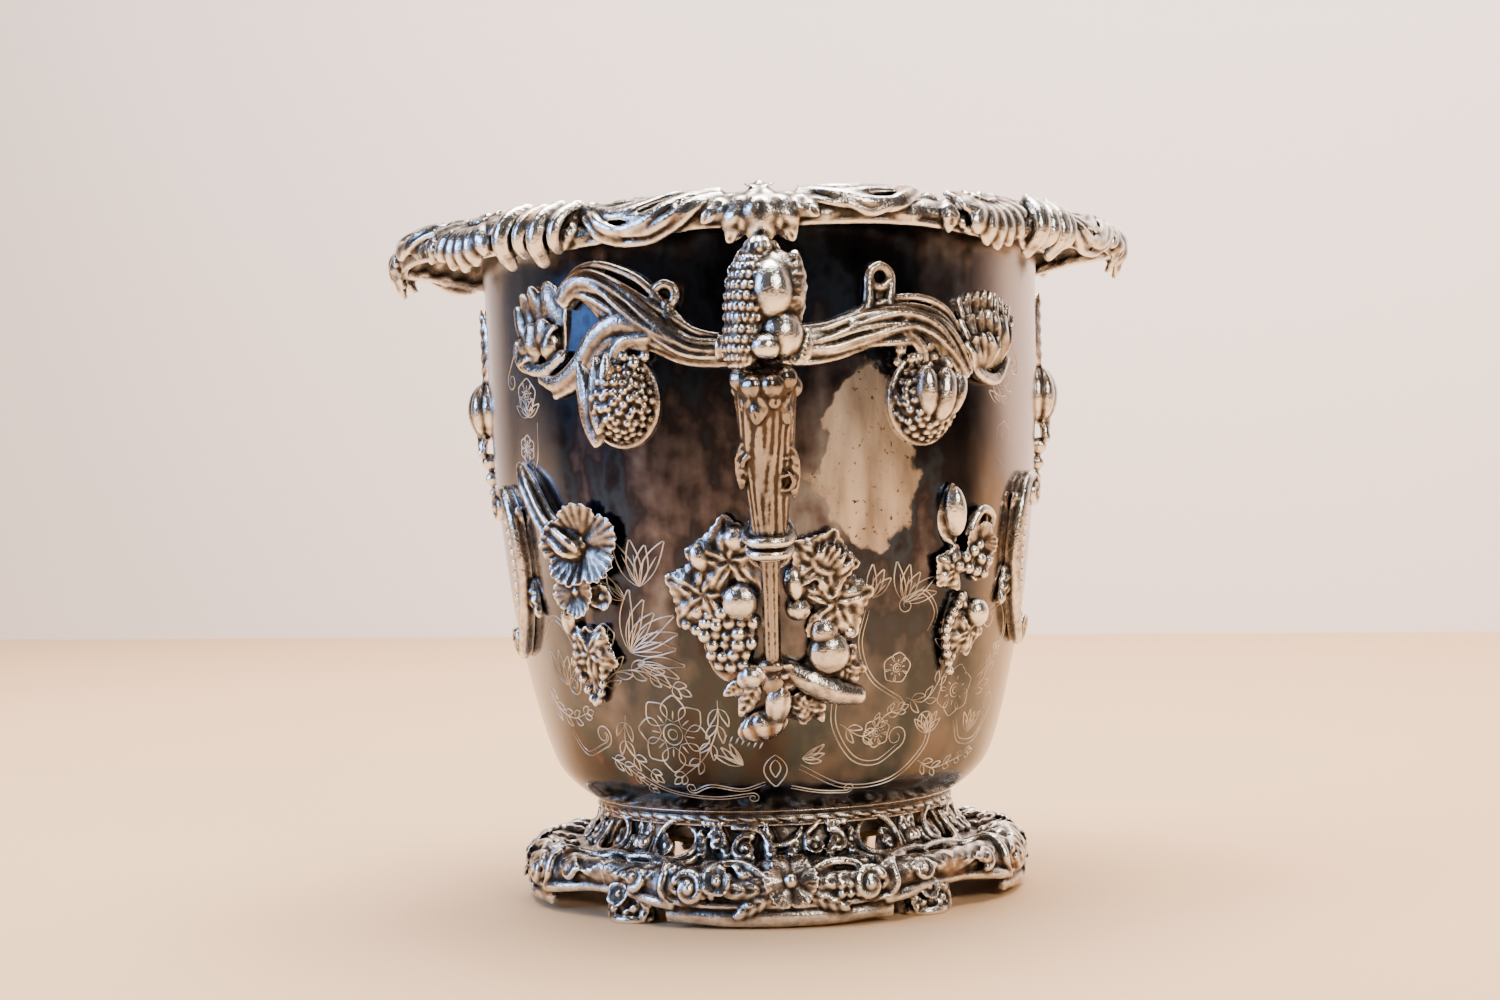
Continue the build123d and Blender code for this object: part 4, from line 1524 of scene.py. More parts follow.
        leaves = (
            (-2, 14, 62, 17, 8),
            (-3, 13, 92, 19, 8),
            (-2, 11, 118, 15, 7),
            (1, 18, 32, 18, 8),
            (10, 17, -50, 17, 8),
            (11, 14, -82, 18, 8),
            (10, 11, -112, 15, 7),
            (7, 19, -18, 17, 8),
            (-24, 19, 20, 13, 7),
            (28, 18, -25, 13, 7),
            (-33, 17, 60, 10, 6),
            (35, 17, -60, 10, 6),
            (-2, 38, 15, 14, 8),
            (5, 38, -30, 13, 7),
            (-10, 37, 60, 12, 6),
            (22, 38, -40, 12, 6),
            (-22, 38, 30, 12, 6),
            (34, 38, -15, 12, 6),
            (-35, 38, 15, 12, 6),
        )
        for x, y, lean, length, width in leaves:
            blade = leaf(length, width, veins=4, cup=-0.4, curl=0.03, thick=2.0)
            shapes.append(blade.turned(lean).moved(x, y, 0.9))
        spots = [(21 + 3.0 * (k % 4), 10.5 + 2.8 * (k // 4), 0.9) for k in range(8)]
        spots += [(-23 - 2.9 * (k % 3), 11.0 + 2.7 * (k // 3), 0.8) for k in range(5)]
        spots += [(25 + 2.8 * k, 51.0, 0.5) for k in range(4)] + [
            (-36 + 2.8 * k, 51.5, 0.5) for k in range(4)
        ]
        return shapes + [beads(spots, 1.5)]

    def collar_shape(self) -> Shape:
        """A low ring of small leaf tips under the bowl; its radius swings with |cos| of the turn."""
        profile = (
            (57.0, 31.0),
            (65.0, 31.4),
            (66.0, 32.6),
            (66.8, 34.2),
            (66.4, 35.6),
            (67.2, 36.6),
            (66.8, 37.4),
            (57, 37.4),
        )
        line = smooth_line(profile, 50)
        turn = np.arange(720) / 720 * TAU
        share = np.clip(1 - np.abs(line[:, 1:2] - 34.0) / 1.8, 0, 1) * (line[:, :1] > 60)
        tips = 0.7 * (np.abs(np.cos(30 * turn + 0.5 * line[:, 1:2])) - 0.6)
        reach = line[:, :1] + share * tips
        x, y = reach * np.sin(turn), -reach * np.cos(turn)
        points = np.stack([x, y, np.broadcast_to(line[:, 1:2], reach.shape)], -1)
        return ring_skin(np.concatenate([points, points[:1]]))

    def leaf_foot(self) -> Shape:
        """A block of wrinkled leaves that stands on the table and reaches up under the panel."""

        def wrinkles(turn: Array, rise: Array) -> Array:
            """Uneven round ribs that run from the top down."""
            return 1 - 0.14 * (1 - np.abs(np.cos(3.5 * turn + 0.5 * np.sin(4 * rise))))

        shapes = [
            blob((9.4, 13.0, 8.6), wrinkles).moved(0.0, 5.0, 0.0),
            flower(5, 5.0, 1.6, 1.6, 0.4).turned(-20, axis=0).moved(-2.5, 9.5, 7.2),
            leaf(13.0, 8.0, veins=4, cup=-0.4, curl=0.1).turned(165).moved(-4.0, 13.0, 6.4),
            leaf(14.0, 8.0, veins=4, cup=-0.4, curl=0.1).turned(195).moved(4.5, 14.0, 6.2),
            tube([(-8, 1.2, 4), (-3, 1.0, 8.4), (3, 1.0, 8.4), (8, 1.2, 4)], [1.6, 2.0, 2.0, 1.6]),
            beads([(4.0, 5.0, 7.8), (1.5, 3.6, 8.6), (-5.0, 4.4, 7.6), (6.0, 8.4, 6.6)], 1.6),
        ]
        flat = joined(shapes)
        x, up, out = flat.points.T
        return Shape(np.stack([x, -self.leaf_place - out, np.maximum(up, 0.0)], -1), flat.faces)

    def build(self, palette: Palette) -> None:
        """Casts a lobe, the collar and a leaf foot, and sets them round."""
        flat = self.band() + self.ornament()
        for side in (-1, 1):
            flat += self.panel(side) + self.rims(side)
        lobe = FOOT_GROUND.lay(joined(flat), 0.0, 0.0)
        lobe.points[:, 2] = np.maximum(lobe.points[:, 2], 0.0)
        mesh = cast("lobe", lobe, self.voxel)
        toe = cast("leaf_foot", self.leaf_foot())
        for side, turn in (("front", 0.0), ("right", 90.0), ("back", 180.0), ("left", 270.0)):
            place(f"foot_{side}_casting", mesh, Slot.CAST, palette.cast, "foot_" + side, turn)
        corners = {
            "front_right": (0, 1), "back_right": (180, -1), "back_left": (180, 1), "front_left": (0, -1)
        }
        for corner, (end, hand) in corners.items():
            node, turn = "leaf_foot_" + corner, end + hand * self.leaf_angle
            place(node + "_casting", toe, Slot.CAST, palette.cast, node, turn)
        collar = to_mesh("collar", self.collar_shape())
        mark_relief(collar)
        place("collar_casting", collar, Slot.CAST, palette.cast, "foot_collar")


def ring_skin(grid: Array) -> Shape:
    """A skin over a grid whose rows meet end to end, as on a ring; its last row repeats the first."""
    count, around = grid.shape[0] - 1, grid.shape[1]
    i, j = np.meshgrid(np.arange(count), np.arange(around), indexing="ij")
    a, b = i * around + j, i * around + (j + 1) % around
    c, d = ((i + 1) % count) * around + (j + 1) % around, ((i + 1) % count) * around + j
    faces = np.concatenate([np.stack([a, b, c], -1).reshape(-1, 3), np.stack([a, c, d], -1).reshape(-1, 3)])
    return Shape(grid[:-1].reshape(-1, 3), faces)


# ---------------------------------------------------------------------------------------------
# Handle
# ---------------------------------------------------------------------------------------------


def beaded(rows: int, columns: int, height: float) -> Relief:
    """A relief of beads in staggered rows round a fruit, each |sin| by |sin| of its own cell."""

    def relief(turn: Array, rise: Array) -> Array:
        """The beads' height over the fruit."""
        row = (rise / np.pi + 0.5) * rows
        stagger = 0.5 * (np.floor(row) % 2)
        cell = np.abs(np.sin(np.pi * row)) * np.abs(np.sin(np.pi * (turn / TAU * columns + stagger)))
        return 1 + height * np.sqrt(cell) - height / 2

    return relief


def ribbed(count: int, depth: float) -> Relief:
    """A relief of lobes that run from pole to pole, as on a melon."""

    def relief(turn: Array, rise: Array) -> Array:
        """The lobes' height over the fruit."""
        return 1 - depth * (1 - np.abs(np.cos(count * turn / 2))) * np.cos(rise) ** 0.5

    return relief


@dataclass
class Handle:
    """One handle: fruit over a bark horn, a branch to each side, and vine leaves and fruit below."""

    voxel: float = 0.5
    fruit_place: float = 139.0
    horn_path: tuple[tuple[float, float, float], ...] = (
        (0.0, -113.5, 134.0),
        (0.0, -123.0, 150.0),
        (0.0, -133.5, 168.0),
        (0.0, -139.0, 186.0),
    )
    horn_radius: tuple[float, ...] = (6.0, 7.6, 9.2, 10.6)
    stem_path: tuple[tuple[float, float, float], ...] = (
        (0.0, -112.3, 131.2),
        (0.0, -106.5, 120.0),
        (0.0, -102.0, 108.0),
        (0.0, -98.5, 94.0),
    )

    def upright(self, shapes: Sequence[Shape], height: float) -> Shape:
        """Flat-frame shapes set at the handle's front: x right, y up, w towards the viewer."""
        flat = joined(shapes)
        x, up, out = flat.points.T
        return Shape(np.stack([x, -self.fruit_place - out, height + up], -1), flat.faces)

    def top_fruit(self) -> Shape:
        """Two corn cobs on the left, a smooth fruit in front, leaves wrapped round the right and top."""
        shapes = [
            blob((8.2, 17.5, 9.0), beaded(16, 22, 0.18), 120, 150).turned(-6).moved(-4.2, 21.5, 0.6),
            blob((7.2, 11.0, 8.4), beaded(11, 20, 0.18), 100, 130).turned(-4).moved(-6.2, 9.5, 1.6),
            blob((7.6, 10.5, 7.6), ribbed(3, 0.05)).moved(2.6, 25.0, 4.4),
            blob((8.6, 12.0, 8.4), ribbed(5, 0.08)).turned(14).moved(5.4, 27.0, 0.0),
            blob((7.6, 8.4, 7.4), ribbed(4, 0.06)).moved(5.2, 11.0, 3.4),
            blob((5.2, 4.6, 5.4), ribbed(2, 0.1)).moved(0.4, 7.0, 7.4),
            blob((9.0, 15.0, 9.0), beaded(16, 24, 0.15), 110, 140).moved(0.0, 17.0, -4.0),
            blob((5.4, 4.4, 5.4), ribbed(9, 0.16)).moved(-0.6, 39.0, 0.4),
        ]
        wraps = (
            (5.0, 17.0, -16.0, 22.0, 14.0, 6.6),
            (9.0, 12.0, 6.0, 24.0, 12.0, 4.2),
            (1.0, 27.0, 8.0, 15.0, 12.0, 5.4),
            (3.0, 3.0, 24.0, 13.0, 9.0, 8.4),
            (-6.0, 1.0, -16.0, 12.0, 9.0, 7.6),
            (9.0, 1.0, -24.0, 13.0, 9.0, 5.0),
        )
        for x, y, lean, length, width, out in wraps:
            blade = leaf(length, width, teeth=5, veins=8, vein=0.5, cup=-0.55, curl=-0.16, thick=2.0)
            shapes.append(blade.turned(lean).moved(x, y, out))
            rear = blade.turned(lean + 14).turned(180, axis=1)
            shapes.append(rear.moved(-x, y + 1.0, -out))
        return self.upright(shapes, 188.0)

    def cuff(self) -> list[Shape]:
        """Leaves, round fruits and small flowers gathered under the fruit, on top of the horn."""
        rng = np.random.default_rng(SEED)
        shapes = []
        for k in range(9):
            angle = TAU * k / 9 + 0.2
            ball = blob((4.2, 4.0, 4.2), ribbed(5, 0.12), 20, 26)
            reach = 7.6 + 0.5 * rng.random()
            spot = (reach * np.sin(angle), 1.5 + 2.4 * (k % 2), reach * np.cos(angle))
            shapes.append(ball.moved(*spot))
        for k in range(8):
            blade = leaf(11.0 + 5.0 * (k % 2), 10.0, veins=3, vein=0.3, cup=-0.5, curl=-0.06, thick=2.0)
            blade = blade.turned(180).moved(0.0, 5.0, 8.6).turned(45.0 * k + 20, axis=1)
            shapes.append(blade)
        return shapes

    def horn(self) -> Shape:
        """The fluted, bark-textured horn with leaf relief and the cuff at its top."""
        t = np.linspace(0, 1, 110)
        line = smooth_line(self.horn_path, 110)
        along = unit(np.gradient(line, axis=0))
        turn = np.arange(220) / 220 * TAU
        size = np.interp(t, np.linspace(0, 1, 4), self.horn_radius)[:, None]
        waver = 0.8 * np.sin(4 * t[:, None] + np.sin(3 * turn[None, :]))
        flute = 0.05 * np.abs(np.cos(7 * turn[None, :] + 1.6 * waver))
        bark = 0.035 * np.sin(19 * turn[None, :] + 3.4 * waver) * (
            0.5 + 0.5 * np.sin(13 * t[:, None] + turn[None, :])
        )
        reach = size * (0.94 + flute + bark)
        side = np.array([1.0, 0.0, 0.0])
        lift = np.cross(along, side)
        ring = (reach * np.cos(turn))[..., None] * side + (reach * np.sin(turn))[..., None] * lift[:, None]
        body = rings(line[:, None, :] + ring)
        lean = np.degrees(np.arctan2(25.5, 52.0))
        relief = []
        for x, y, tilt, length, width, out in (
            (-6.0, 24.0, 172.0, 20.0, 7.0, 7.2),
            (6.4, 22.0, 186.0, 22.0, 7.0, 7.0),
            (0.0, 30.0, 182.0, 15.0, 8.0, 9.4),
        ):
            blade = leaf(length, width, veins=5, vein=0.4, cup=-0.45, curl=-0.08, thick=1.8)
            relief.append(blade.turned(tilt).moved(x, y + 16.0, out))
        relief.append(loop(3.4, 0.9, 250.0, 60.0).moved(4.6, 30.0, 8.8))
        relief.append(loop(3.0, 0.9, 250.0, 240.0).moved(5.4, 24.0, 7.8))
        relief.append(loop(3.2, 0.9, 250.0, -60.0).moved(-4.8, 31.0, 8.8))
        flat = joined(relief).turned(lean, axis=0)
        x, up, out = flat.points.T
        leaves = Shape(np.stack([x, -113.5 - out, 134.0 + up], -1), flat.faces)
        return joined([body, leaves, self.upright(self.cuff(), 181.0)])

    def ring(self) -> Shape:
        """The leaf that wraps the horn's lower end: two slanting rolls over a short sleeve."""
        sleeve = tube([(0, -114.5, 136.5), (0, -110.5, 128.0)], [7.0, 5.2], up=(1, 0, 0), cap=0.3)
        rolls = []
        for reach, bar, slope, drop in ((7.4, 1.8, 5.0, 0.0), (6.6, 1.7, 4.0, -5.0), (6.0, 1.5, -3.0, -8.5)):
            angles = np.linspace(0, TAU, 33)[:-1]
            path = np.stack(
                [
                    reach * np.sin(angles),
                    -114.0 - reach * np.cos(angles) - drop * 0.45,
                    136.0 + drop - slope * np.cos(angles) + 0.25 * slope * np.cos(2 * angles),
                ],
                -1,
            )
            rolls.append(tube(np.vstack([path, path[:1]]), [bar], up=(0, 0, 1), pitch=0.7))
        return joined([sleeve] + rolls)

    def stem(self) -> Shape:
        """The reeded stem from the ring down the bowl, ending in an acorn cup."""
        rod = tube(self.stem_path, [3.7, 3.3, 3.1, 3.0], up=(1, 0, 0), reeds=8, depth=0.18)
        cup = on_bowl(
            [
                blob((4.4, 6.2, 4.4), ribbed(6, 0.06)).moved(0.5, -6.0, 2.6),
                blob((4.9, 3.0, 4.6), beaded(6, 16, 0.12), 40, 60).moved(0.0, 0.2, 2.8),
            ],
            0.0,
            91.0,
        )
        return joined([rod, cup])

    def bridge(self) -> Shape:
        """The bark-covered bar from the fruit through the bowl's wall, with a sawn knot on each side."""
        bar = tube(
            [(0, -134, 202), (0, -118, 201), (0, -102.5, 200)],
            [6.0, 6.4, 7.2],
            up=(1, 0, 0),
            reeds=10,
            depth=0.16,
        )
        knot = tube([(9.0, -112.0, 197.0), (15.0, -111.0, 197.5)], [4.6, 5.0], up=(0, 0, 1), cap=0.15)
        return joined([bar, knot, knot.mirrored()])

    def right_branch(self) -> Shape:
        """The grained right arm, with a keyhole-shaped eye over it and a bent twig to the fruit."""
        arm = [
            (8, -4, 2.6),
            (20, -3, 2.6),
            (32, 1, 2.4),
            (46, 4, 2.4),
            (58, 2, 2.4),
            (67, -5, 2.2),
            (74, -14, 1.6),
        ]
        eye = [
            (29, 3, 2.6),
            (35, 8, 2.2),
            (36, 15, 2.0),
            (36.5, 20, 2.0),
            (40, 22.5, 2.0),
            (43.8, 20, 2.0),
            (44, 15, 2.0),
            (43.4, 9, 2.2),
            (49, 5, 2.6),
        ]
        twigs = ([(48, 1, 2.8), (54, -5, 3.2), (56, -12, 3)], [(50, 4, 2.8), (60, -2, 3), (64, -12, 2.4)])
        knobs = [(33.0, 8.0, 2.0), (30.0, 5.5, 2.2), (27.0, 3.6, 2.4), (24.0, 2.6, 2.4), (20.5, 2.4, 2.4)]
        return on_bowl(
            [
                tube(arm, [4.4, 4.6, 5.0, 5.2, 4.8, 3.8, 2.2], flat=0.4),
                *strands(arm, [10, 11, 13, 16, 16, 12, 7], 1.3, 10, 21, 2.6),
                tube(eye, [3.2, 2.2, 1.8, 1.7, 1.7, 1.7, 1.8, 2.2, 3.2]),
                blob((4.2, 8.0, 2.0)).moved(39.8, 8.0, 0.6),
                loop(3.4, 1.5).moved(40.0, 18.6, 2.0),
                beads(knobs, 1.1),
                *(tube(twig, [2.4, 2.8, 2.0], reeds=5, depth=0.2) for twig in twigs),
                beads(
                    [(47.0, -6.0, 2.6), (51.0, -9.0, 3.4), (59.0, -8.0, 2.8), (46.0, -10.0, 2.0)],
                    [2.2, 2.2, 2.0, 1.8],
                ),
                leaf(22, 10, veins=5, cup=-0.5, curl=0.05, thick=2.4).turned(-112).moved(56, 3, 3.0),
                leaf(15, 8, veins=4, cup=-0.5, curl=0.05, thick=2.2).turned(-150).moved(63, -4, 2.4),
            ],
            0.0,
            202.0,
        )

    def left_branch(self) -> Shape:
        """The grained left arm with a small eye over it, forking into smooth ribbons that curl under."""
        arm = [
            (-8, -5, 2.6),
            (-22, -4, 2.6),
            (-34, 3, 2.4),
            (-46, 12, 2.4),
            (-57, 19, 2.2),
            (-66, 20, 2),
            (-72, 15, 1.6),
        ]
        fork = [(-36, 1, 3.2), (-48, 6, 3.6), (-58, 1, 3.4), (-66, -8, 3), (-76, -13, 2.6), (-85, -11, 2)]
        lower = [(-40, -2, 3.0), (-52, 0, 3.4), (-60, -6, 3.2), (-68, -13, 2.8), (-78, -17, 2)]
        inner = [(-38, 0, 3.4), (-47, -1, 3.4), (-52, -8, 3.2), (-53, -15, 2.6)]
        return on_bowl(
            [
                tube(arm, [4.4, 4.6, 5.0, 5.0, 4.0, 3.0, 2.0], flat=0.4),
                *strands(arm, [10, 11, 14, 16, 13, 9, 6], 1.3, 10, 22, 2.6),
                tube(fork, [3.2, 4.0, 4.2, 4.0, 3.4, 2.2], flat=0.7),
                tube(lower, [2.4, 3.0, 3.0, 2.8, 1.8], flat=0.7),
                tube(inner, [2.6, 3.0, 2.8, 2.2], reeds=3, depth=0.15),
                loop(3.7, 1.8).moved(-32.5, 14.5, 2.0),
                blob((3.4, 3.4, 1.2)).moved(-32.5, 14.5, 0.2),
                tube([(-31.5, 11, 2.0), (-31, 6, 2.4), (-28, 1, 2.8)], [2.4, 2.4, 2.8], reeds=3, depth=0.2),
                beads(
                    [(-44.0, -7.0, 3.0), (-40.0, -6.0, 2.8), (-48.0, -11.0, 2.8), (-43.0, -10.0, 2.2)],
                    [2.2, 1.9, 2.0, 1.7],
                ),
            ],
            0.0,
            202.0,
        )

    def left_fan_leaf(self) -> Shape:
        """A cupped leaf of round lobes that curls over at the branch's left end."""
        return on_bowl(
            [
                comb(33.0, 29.0, 4, 1.2).turned(12).moved(2.0, -14.0, 0.0),
                shell(13.0, 4, 150.0, 3.0).turned(30).moved(1.0, -11.0, 1.6),
                blob((5.0, 7.0, 4.0), ribbed(3, 0.1)).turned(20).moved(-4.0, -6.0, 1.6),
                blob((3.6, 5.0, 3.6)).turned(-20).moved(5.0, -8.0, 2.0),
                loop(6.0, 1.8, 250.0, 150.0).moved(-8.0, -9.0, 2.2),
                tube(
                    [(-12, -9, 2.2), (-6, -15, 2.6), (3, -16, 2.6), (11, -12, 2.6)],
                    [1.6, 2.4, 2.6, 2.6],
                    reeds=3,
                    depth=0.2,
                ),
            ],
            -47.0,
            210.0,
        )

    def right_fan_leaf(self) -> Shape:
        """A ruffled leaf, like a cock's comb, that fans up from the branch's right end."""
        return on_bowl(
            [
                comb(34.0, 28.0, 8, 2.0).turned(-6).moved(0.0, -13.0, 0.0),
                comb(30.0, 21.0, 6, 3.4).turned(2).moved(-1.0, -13.0, 1.6),
                comb(18.0, 13.0, 4, 3.0).turned(12).moved(-5.0, -13.0, 4.0),
                tube(
                    [(-12, -5, 2.6), (-6, -14, 2.8), (4, -16, 2.6), (12, -9, 2.2)],
                    [2.0, 2.6, 2.4, 1.4],
                    reeds=3,
                    depth=0.2,
                ),
            ],
            48.0,
            202.5,
        )

    def seeds(self, size: Point, turns: Point, rises: Point, gap: float, seed: int) -> Array:
        """Spots spread over a fruit's surface between two turns and two rises, a gap apart."""
        rng = np.random.default_rng(seed)
        turn = np.radians(rng.uniform(*turns, 2600))
        rise = np.arcsin(rng.uniform(*np.sin(np.radians(rises)), 2600))
        x, w = (size[k] * np.cos(rise) * f(turn) for k, f in ((0, np.sin), (2, np.cos)))
        spots = np.stack([x, size[1] * np.sin(rise), w], -1)
        return spots[spaced(spots, gap)]

    def left_hanging_fruit(self) -> Shape:
        """A seeded fruit, its skin peeled back in smooth bands to the left."""
        seeds = self.seeds((12.4, 14.5, 11.0), (-28, 115), (-80, 62), 2.15, SEED + 1)
        rim = [(13.4 * np.sin(a), -15.8 * np.cos(a), 0.8) for a in np.linspace(-2.6, 2.7, 30)]
        peel = leaf(31.0, 11.0, veins=2, vein=0.15, cup=-0.5, curl=-0.02, thick=3.0, sway=0.08)
        shapes = [
            blob((12.4, 14.6, 11.0), ribbed(3, 0.03), 40, 56),
            beads(seeds, 1.42),
            peel.turned(8).moved(-9.0, -15.0, 6.4),
            leaf(27.0, 8.5, veins=2, vein=0.15, cup=-0.6, curl=-0.03, thick=2.8, sway=0.12).moved(
                -5.4, -11.0, 9.4
            ),
            leaf(20.0, 6.5, veins=2, vein=0.15, cup=-0.6, curl=-0.04, thick=2.6, sway=0.16).moved(
                -1.0, -4.0, 10.2
            ),
            tube(rim, [1.3]),
            flower(5, 5.0, 1.2, 1.8).moved(0.5, 15.0, 3.6),
            beads([(-5.0, 14.0, 4.6), (5.5, 13.6, 4.6), (9.0, 10.6, 5.0)], 2.0),
        ]
        return on_bowl([joined(shapes).turned(8)], -28.0, 182.0)

    def right_hanging_fruit(self) -> Shape:
        """A split fruit: smooth lobes in the middle, seeds round its edge, inside a thin rim."""
        seeds = self.seeds((11.8, 13.7, 10.2), (-92, 92), (-80, 64), 2.15, SEED + 2)
        seeds = seeds[np.hypot(seeds[:, 0] - 2.0, (seeds[:, 1] - 2.6) * 0.9) > 8.0]
        rim = [(12.9 * np.sin(a), 0.6 - 15.2 * np.cos(a), 0.8) for a in np.linspace(-2.6, 2.6, 30)]
        lobes = (
            (-3.8, 2.6, 8.6, 3.8, 8.6, 10), (1.8, 2.2, 9.6, 4.2, 9.2, -3), (7.2, 2.6, 7.8, 3.8, 8.4, -16)
        )
        shapes = [
            blob((11.9, 13.9, 10.2)),
            *(blob((a, b, 4.4), rows=30, columns=30).turned(t).moved(x, y, w) for x, y, w, a, b, t in lobes),
            beads(seeds, 1.42),
            tube(rim, [1.3]),
            flower(6, 5.5, 1.4, 1.8).moved(0.5, 14.6, 3.2),
            beads([(-6.0, 13.6, 4.0), (6.5, 13.0, 4.2)], 2.0),
        ]
        return on_bowl([joined(shapes).turned(-7)], 31.5, 179.0)

    def left_vine_leaf(self) -> Shape:
        """Two vine leaves with berries and a peach, left of the stem."""
        return on_bowl(
            [
                lobed_leaf(16.0, 5, -1.4).turned(6).moved(-13.0, -4.0, 2.0),
                lobed_leaf(15.5, 5, -1.8).turned(66).moved(-22.5, -15.5, 1.0),
                blob((4.2, 5.4, 4.2), ribbed(3, 0.08)).turned(20).moved(-23.0, -3.0, 2.4),
                blob((3.8, 4.2, 3.6)).moved(-11.0, 3.0, 4.0),
                blob((6.4, 6.4, 5.4), ribbed(1, 0.1)).moved(-10.0, -18.0, 4.2),
                leaf(14, 8, teeth=3, cup=-0.4).turned(70).moved(-12, -9, 3.0),
                beads(
                    [(-29.5, -26.0, 2.4), (-26.0, -28.0, 2.6), (-22.0, -25.5, 3.0), (-18.5, -24.0, 3.0)], 2.1
                ),
            ],
            0.0,
            131.0,
        )

    def right_vine_leaf(self) -> Shape:
        """A rolled scalloped leaf, a vine leaf and a half-open husk, right of the stem."""
        return on_bowl(
            [
                lobed_leaf(13.0, 5, 1.6).turned(-20).moved(17.0, -5.0, 0.8),
                comb(14.0, 11.0, 5, 3.0).turned(-34).moved(17.0, -9.0, 3.0),
                loop(4.6, 1.5, 250.0, 70.0).moved(19.0, -3.5, 4.0),
                lobed_leaf(15.5, 5, -1.6).turned(-75).moved(21.5, -18.5, 1.0),
                blob((3.8, 6.4, 3.8), ribbed(4, 0.12)).turned(6).moved(8.0, -12.0, 3.0),
                blob((4.4, 4.0, 3.8), ribbed(5, 0.12)).moved(9.0, -20.5, 3.4),
                leaf(17, 8, veins=4, cup=-0.4, curl=0.1).turned(-72).moved(10.0, -18.0, 2.4),
                leaf(12, 7, veins=3, cup=-0.4, curl=0.1).turned(-10).moved(9.5, -8.0, 1.8),
                beads([(8.0, -3.0, 2.6), (10.5, -6.0, 2.8)], 2.0),
            ],
            0.0,
            130.0,
        )

    def grape_bunch(self) -> Shape:
        """A bunch of grapes left of the stem, and a bud below it."""
        rng = np.random.default_rng(SEED + 3)
        spots, sizes = [], []
        ends = (
            (12, -24, -8), (8.4, -23, -7), (4.8, -22, -7), (1.2, -21, -8), (-2.4, -20, -9), (-6, -19, -11)
        )
        for row, (y, start, end) in enumerate(ends):
            count = max(int((end - start) / 3.6), 1)
            for k in range(count + 1):
                x = start + (end - start) * (k + 0.3 * (row % 2)) / count
                spots.append((x, y + rng.uniform(-0.6, 0.6), 1.8 + 1.8 * rng.random()))
                sizes.append(rng.uniform(2.0, 2.8))
        bud = blob((5.6, 4.4, 3.8), ribbed(5, 0.14)).turned(24).moved(-7.0, -10.0, 3.4)
        backing = blob((9.0, 15.0, 2.0)).moved(-14.5, 2.0, 0.0)
        return on_bowl(
            [beads(spots, sizes), bud, backing, leaf(10, 6).turned(120).moved(-9, -12, 2.4)], 0.0, 97.0
        )

    def mixed_fruit(self) -> Shape:
        """A pear, a ribbed pod and a squash, with leaves between them."""
        return on_bowl(
            [
                blob((7.0, 7.4, 5.4), ribbed(1, 0.06)).moved(18.0, 8.5, 4.2),
                blob((4.6, 5.6, 4.2)).turned(12).moved(16.5, 15.0, 3.8),
                tube(
                    [(5, 3, 3), (12, -1, 4), (20, -5, 4), (28, -7, 3)],
                    [3.2, 4.8, 4.8, 3.8],
                    reeds=3,
                    depth=0.06,
                ),
                blob((4.6, 7.4, 4.4), ribbed(6, 0.08)).turned(-10).moved(1.5, -8.5, 3.8),
                blob((9.4, 5.4, 4.2), ribbed(9, 0.14)).turned(20).moved(-4.0, -17.0, 2.6),
                lobed_leaf(9.5, 5, -1.4).turned(-100).moved(23.0, 3.0, 0.6),
                lobed_leaf(7.5, 4, -1.0).turned(170).moved(11.0, -10.0, 0.6),
                leaf(15, 8, teeth=4).turned(-150).moved(10, -4, 1.8),
                leaf(14, 8, teeth=4).turned(150).moved(-5, -2, 1.8),
                leaf(14, 7).turned(-95).moved(2, -12, 1.6),
                flower(5, 4.6, 1.2, 1.6).moved(4.0, 1.5, 4.6),
                beads([(12.0, 4.5, 3.0), (25.0, 15.0, 2.2), (27.0, -1.0, 2.4)], [2.0, 2.2, 2.4]),
            ],
            0.0,
            86.5,
        )

    def build(self, palette: Palette) -> None:
        """Casts each piece once and sets it at the front and the back."""
        bark = {"horn", "stem"}
        makers = {
            "top_fruit": self.top_fruit,
            "horn": self.horn,
            "ring": self.ring,
            "stem": self.stem,
            "bridge": self.bridge,
            "left_branch": self.left_branch,
            "right_branch": self.right_branch,
            "left_fan_leaf": self.left_fan_leaf,
            "right_fan_leaf": self.right_fan_leaf,
            "left_hanging_fruit": self.left_hanging_fruit,
            "right_hanging_fruit": self.right_hanging_fruit,
            "left_vine_leaf": self.left_vine_leaf,
            "right_vine_leaf": self.right_vine_leaf,
            "grape_bunch": self.grape_bunch,
            "mixed_fruit": self.mixed_fruit,
        }
        for name, make in makers.items():
            mesh = cast(name, make(), self.voxel)
            slot = Slot.BARK if name in bark else Slot.CAST
            for side, turn in (("front", 0.0), ("back", 180.0)):
                node = f"{side}_handle_{name}"
                place(node + "_casting", mesh, slot, palette.of(slot), node, turn)


def spaced(points: Array, gap: float) -> Array:
    """Picks points that keep a gap from each one kept before them.

    Args:
        points: the points, in the order they are tried.
        gap: the least distance between two kept points.

    Returns:
        The kept points' indices.
    """
    kept: list[int] = []
    for k, point in enumerate(points):
        if not kept or np.linalg.norm(points[kept] - point, axis=1).min() > gap:
            kept.append(k)
    return np.array(kept)


# ---------------------------------------------------------------------------------------------
# Cartouches
# ---------------------------------------------------------------------------------------------


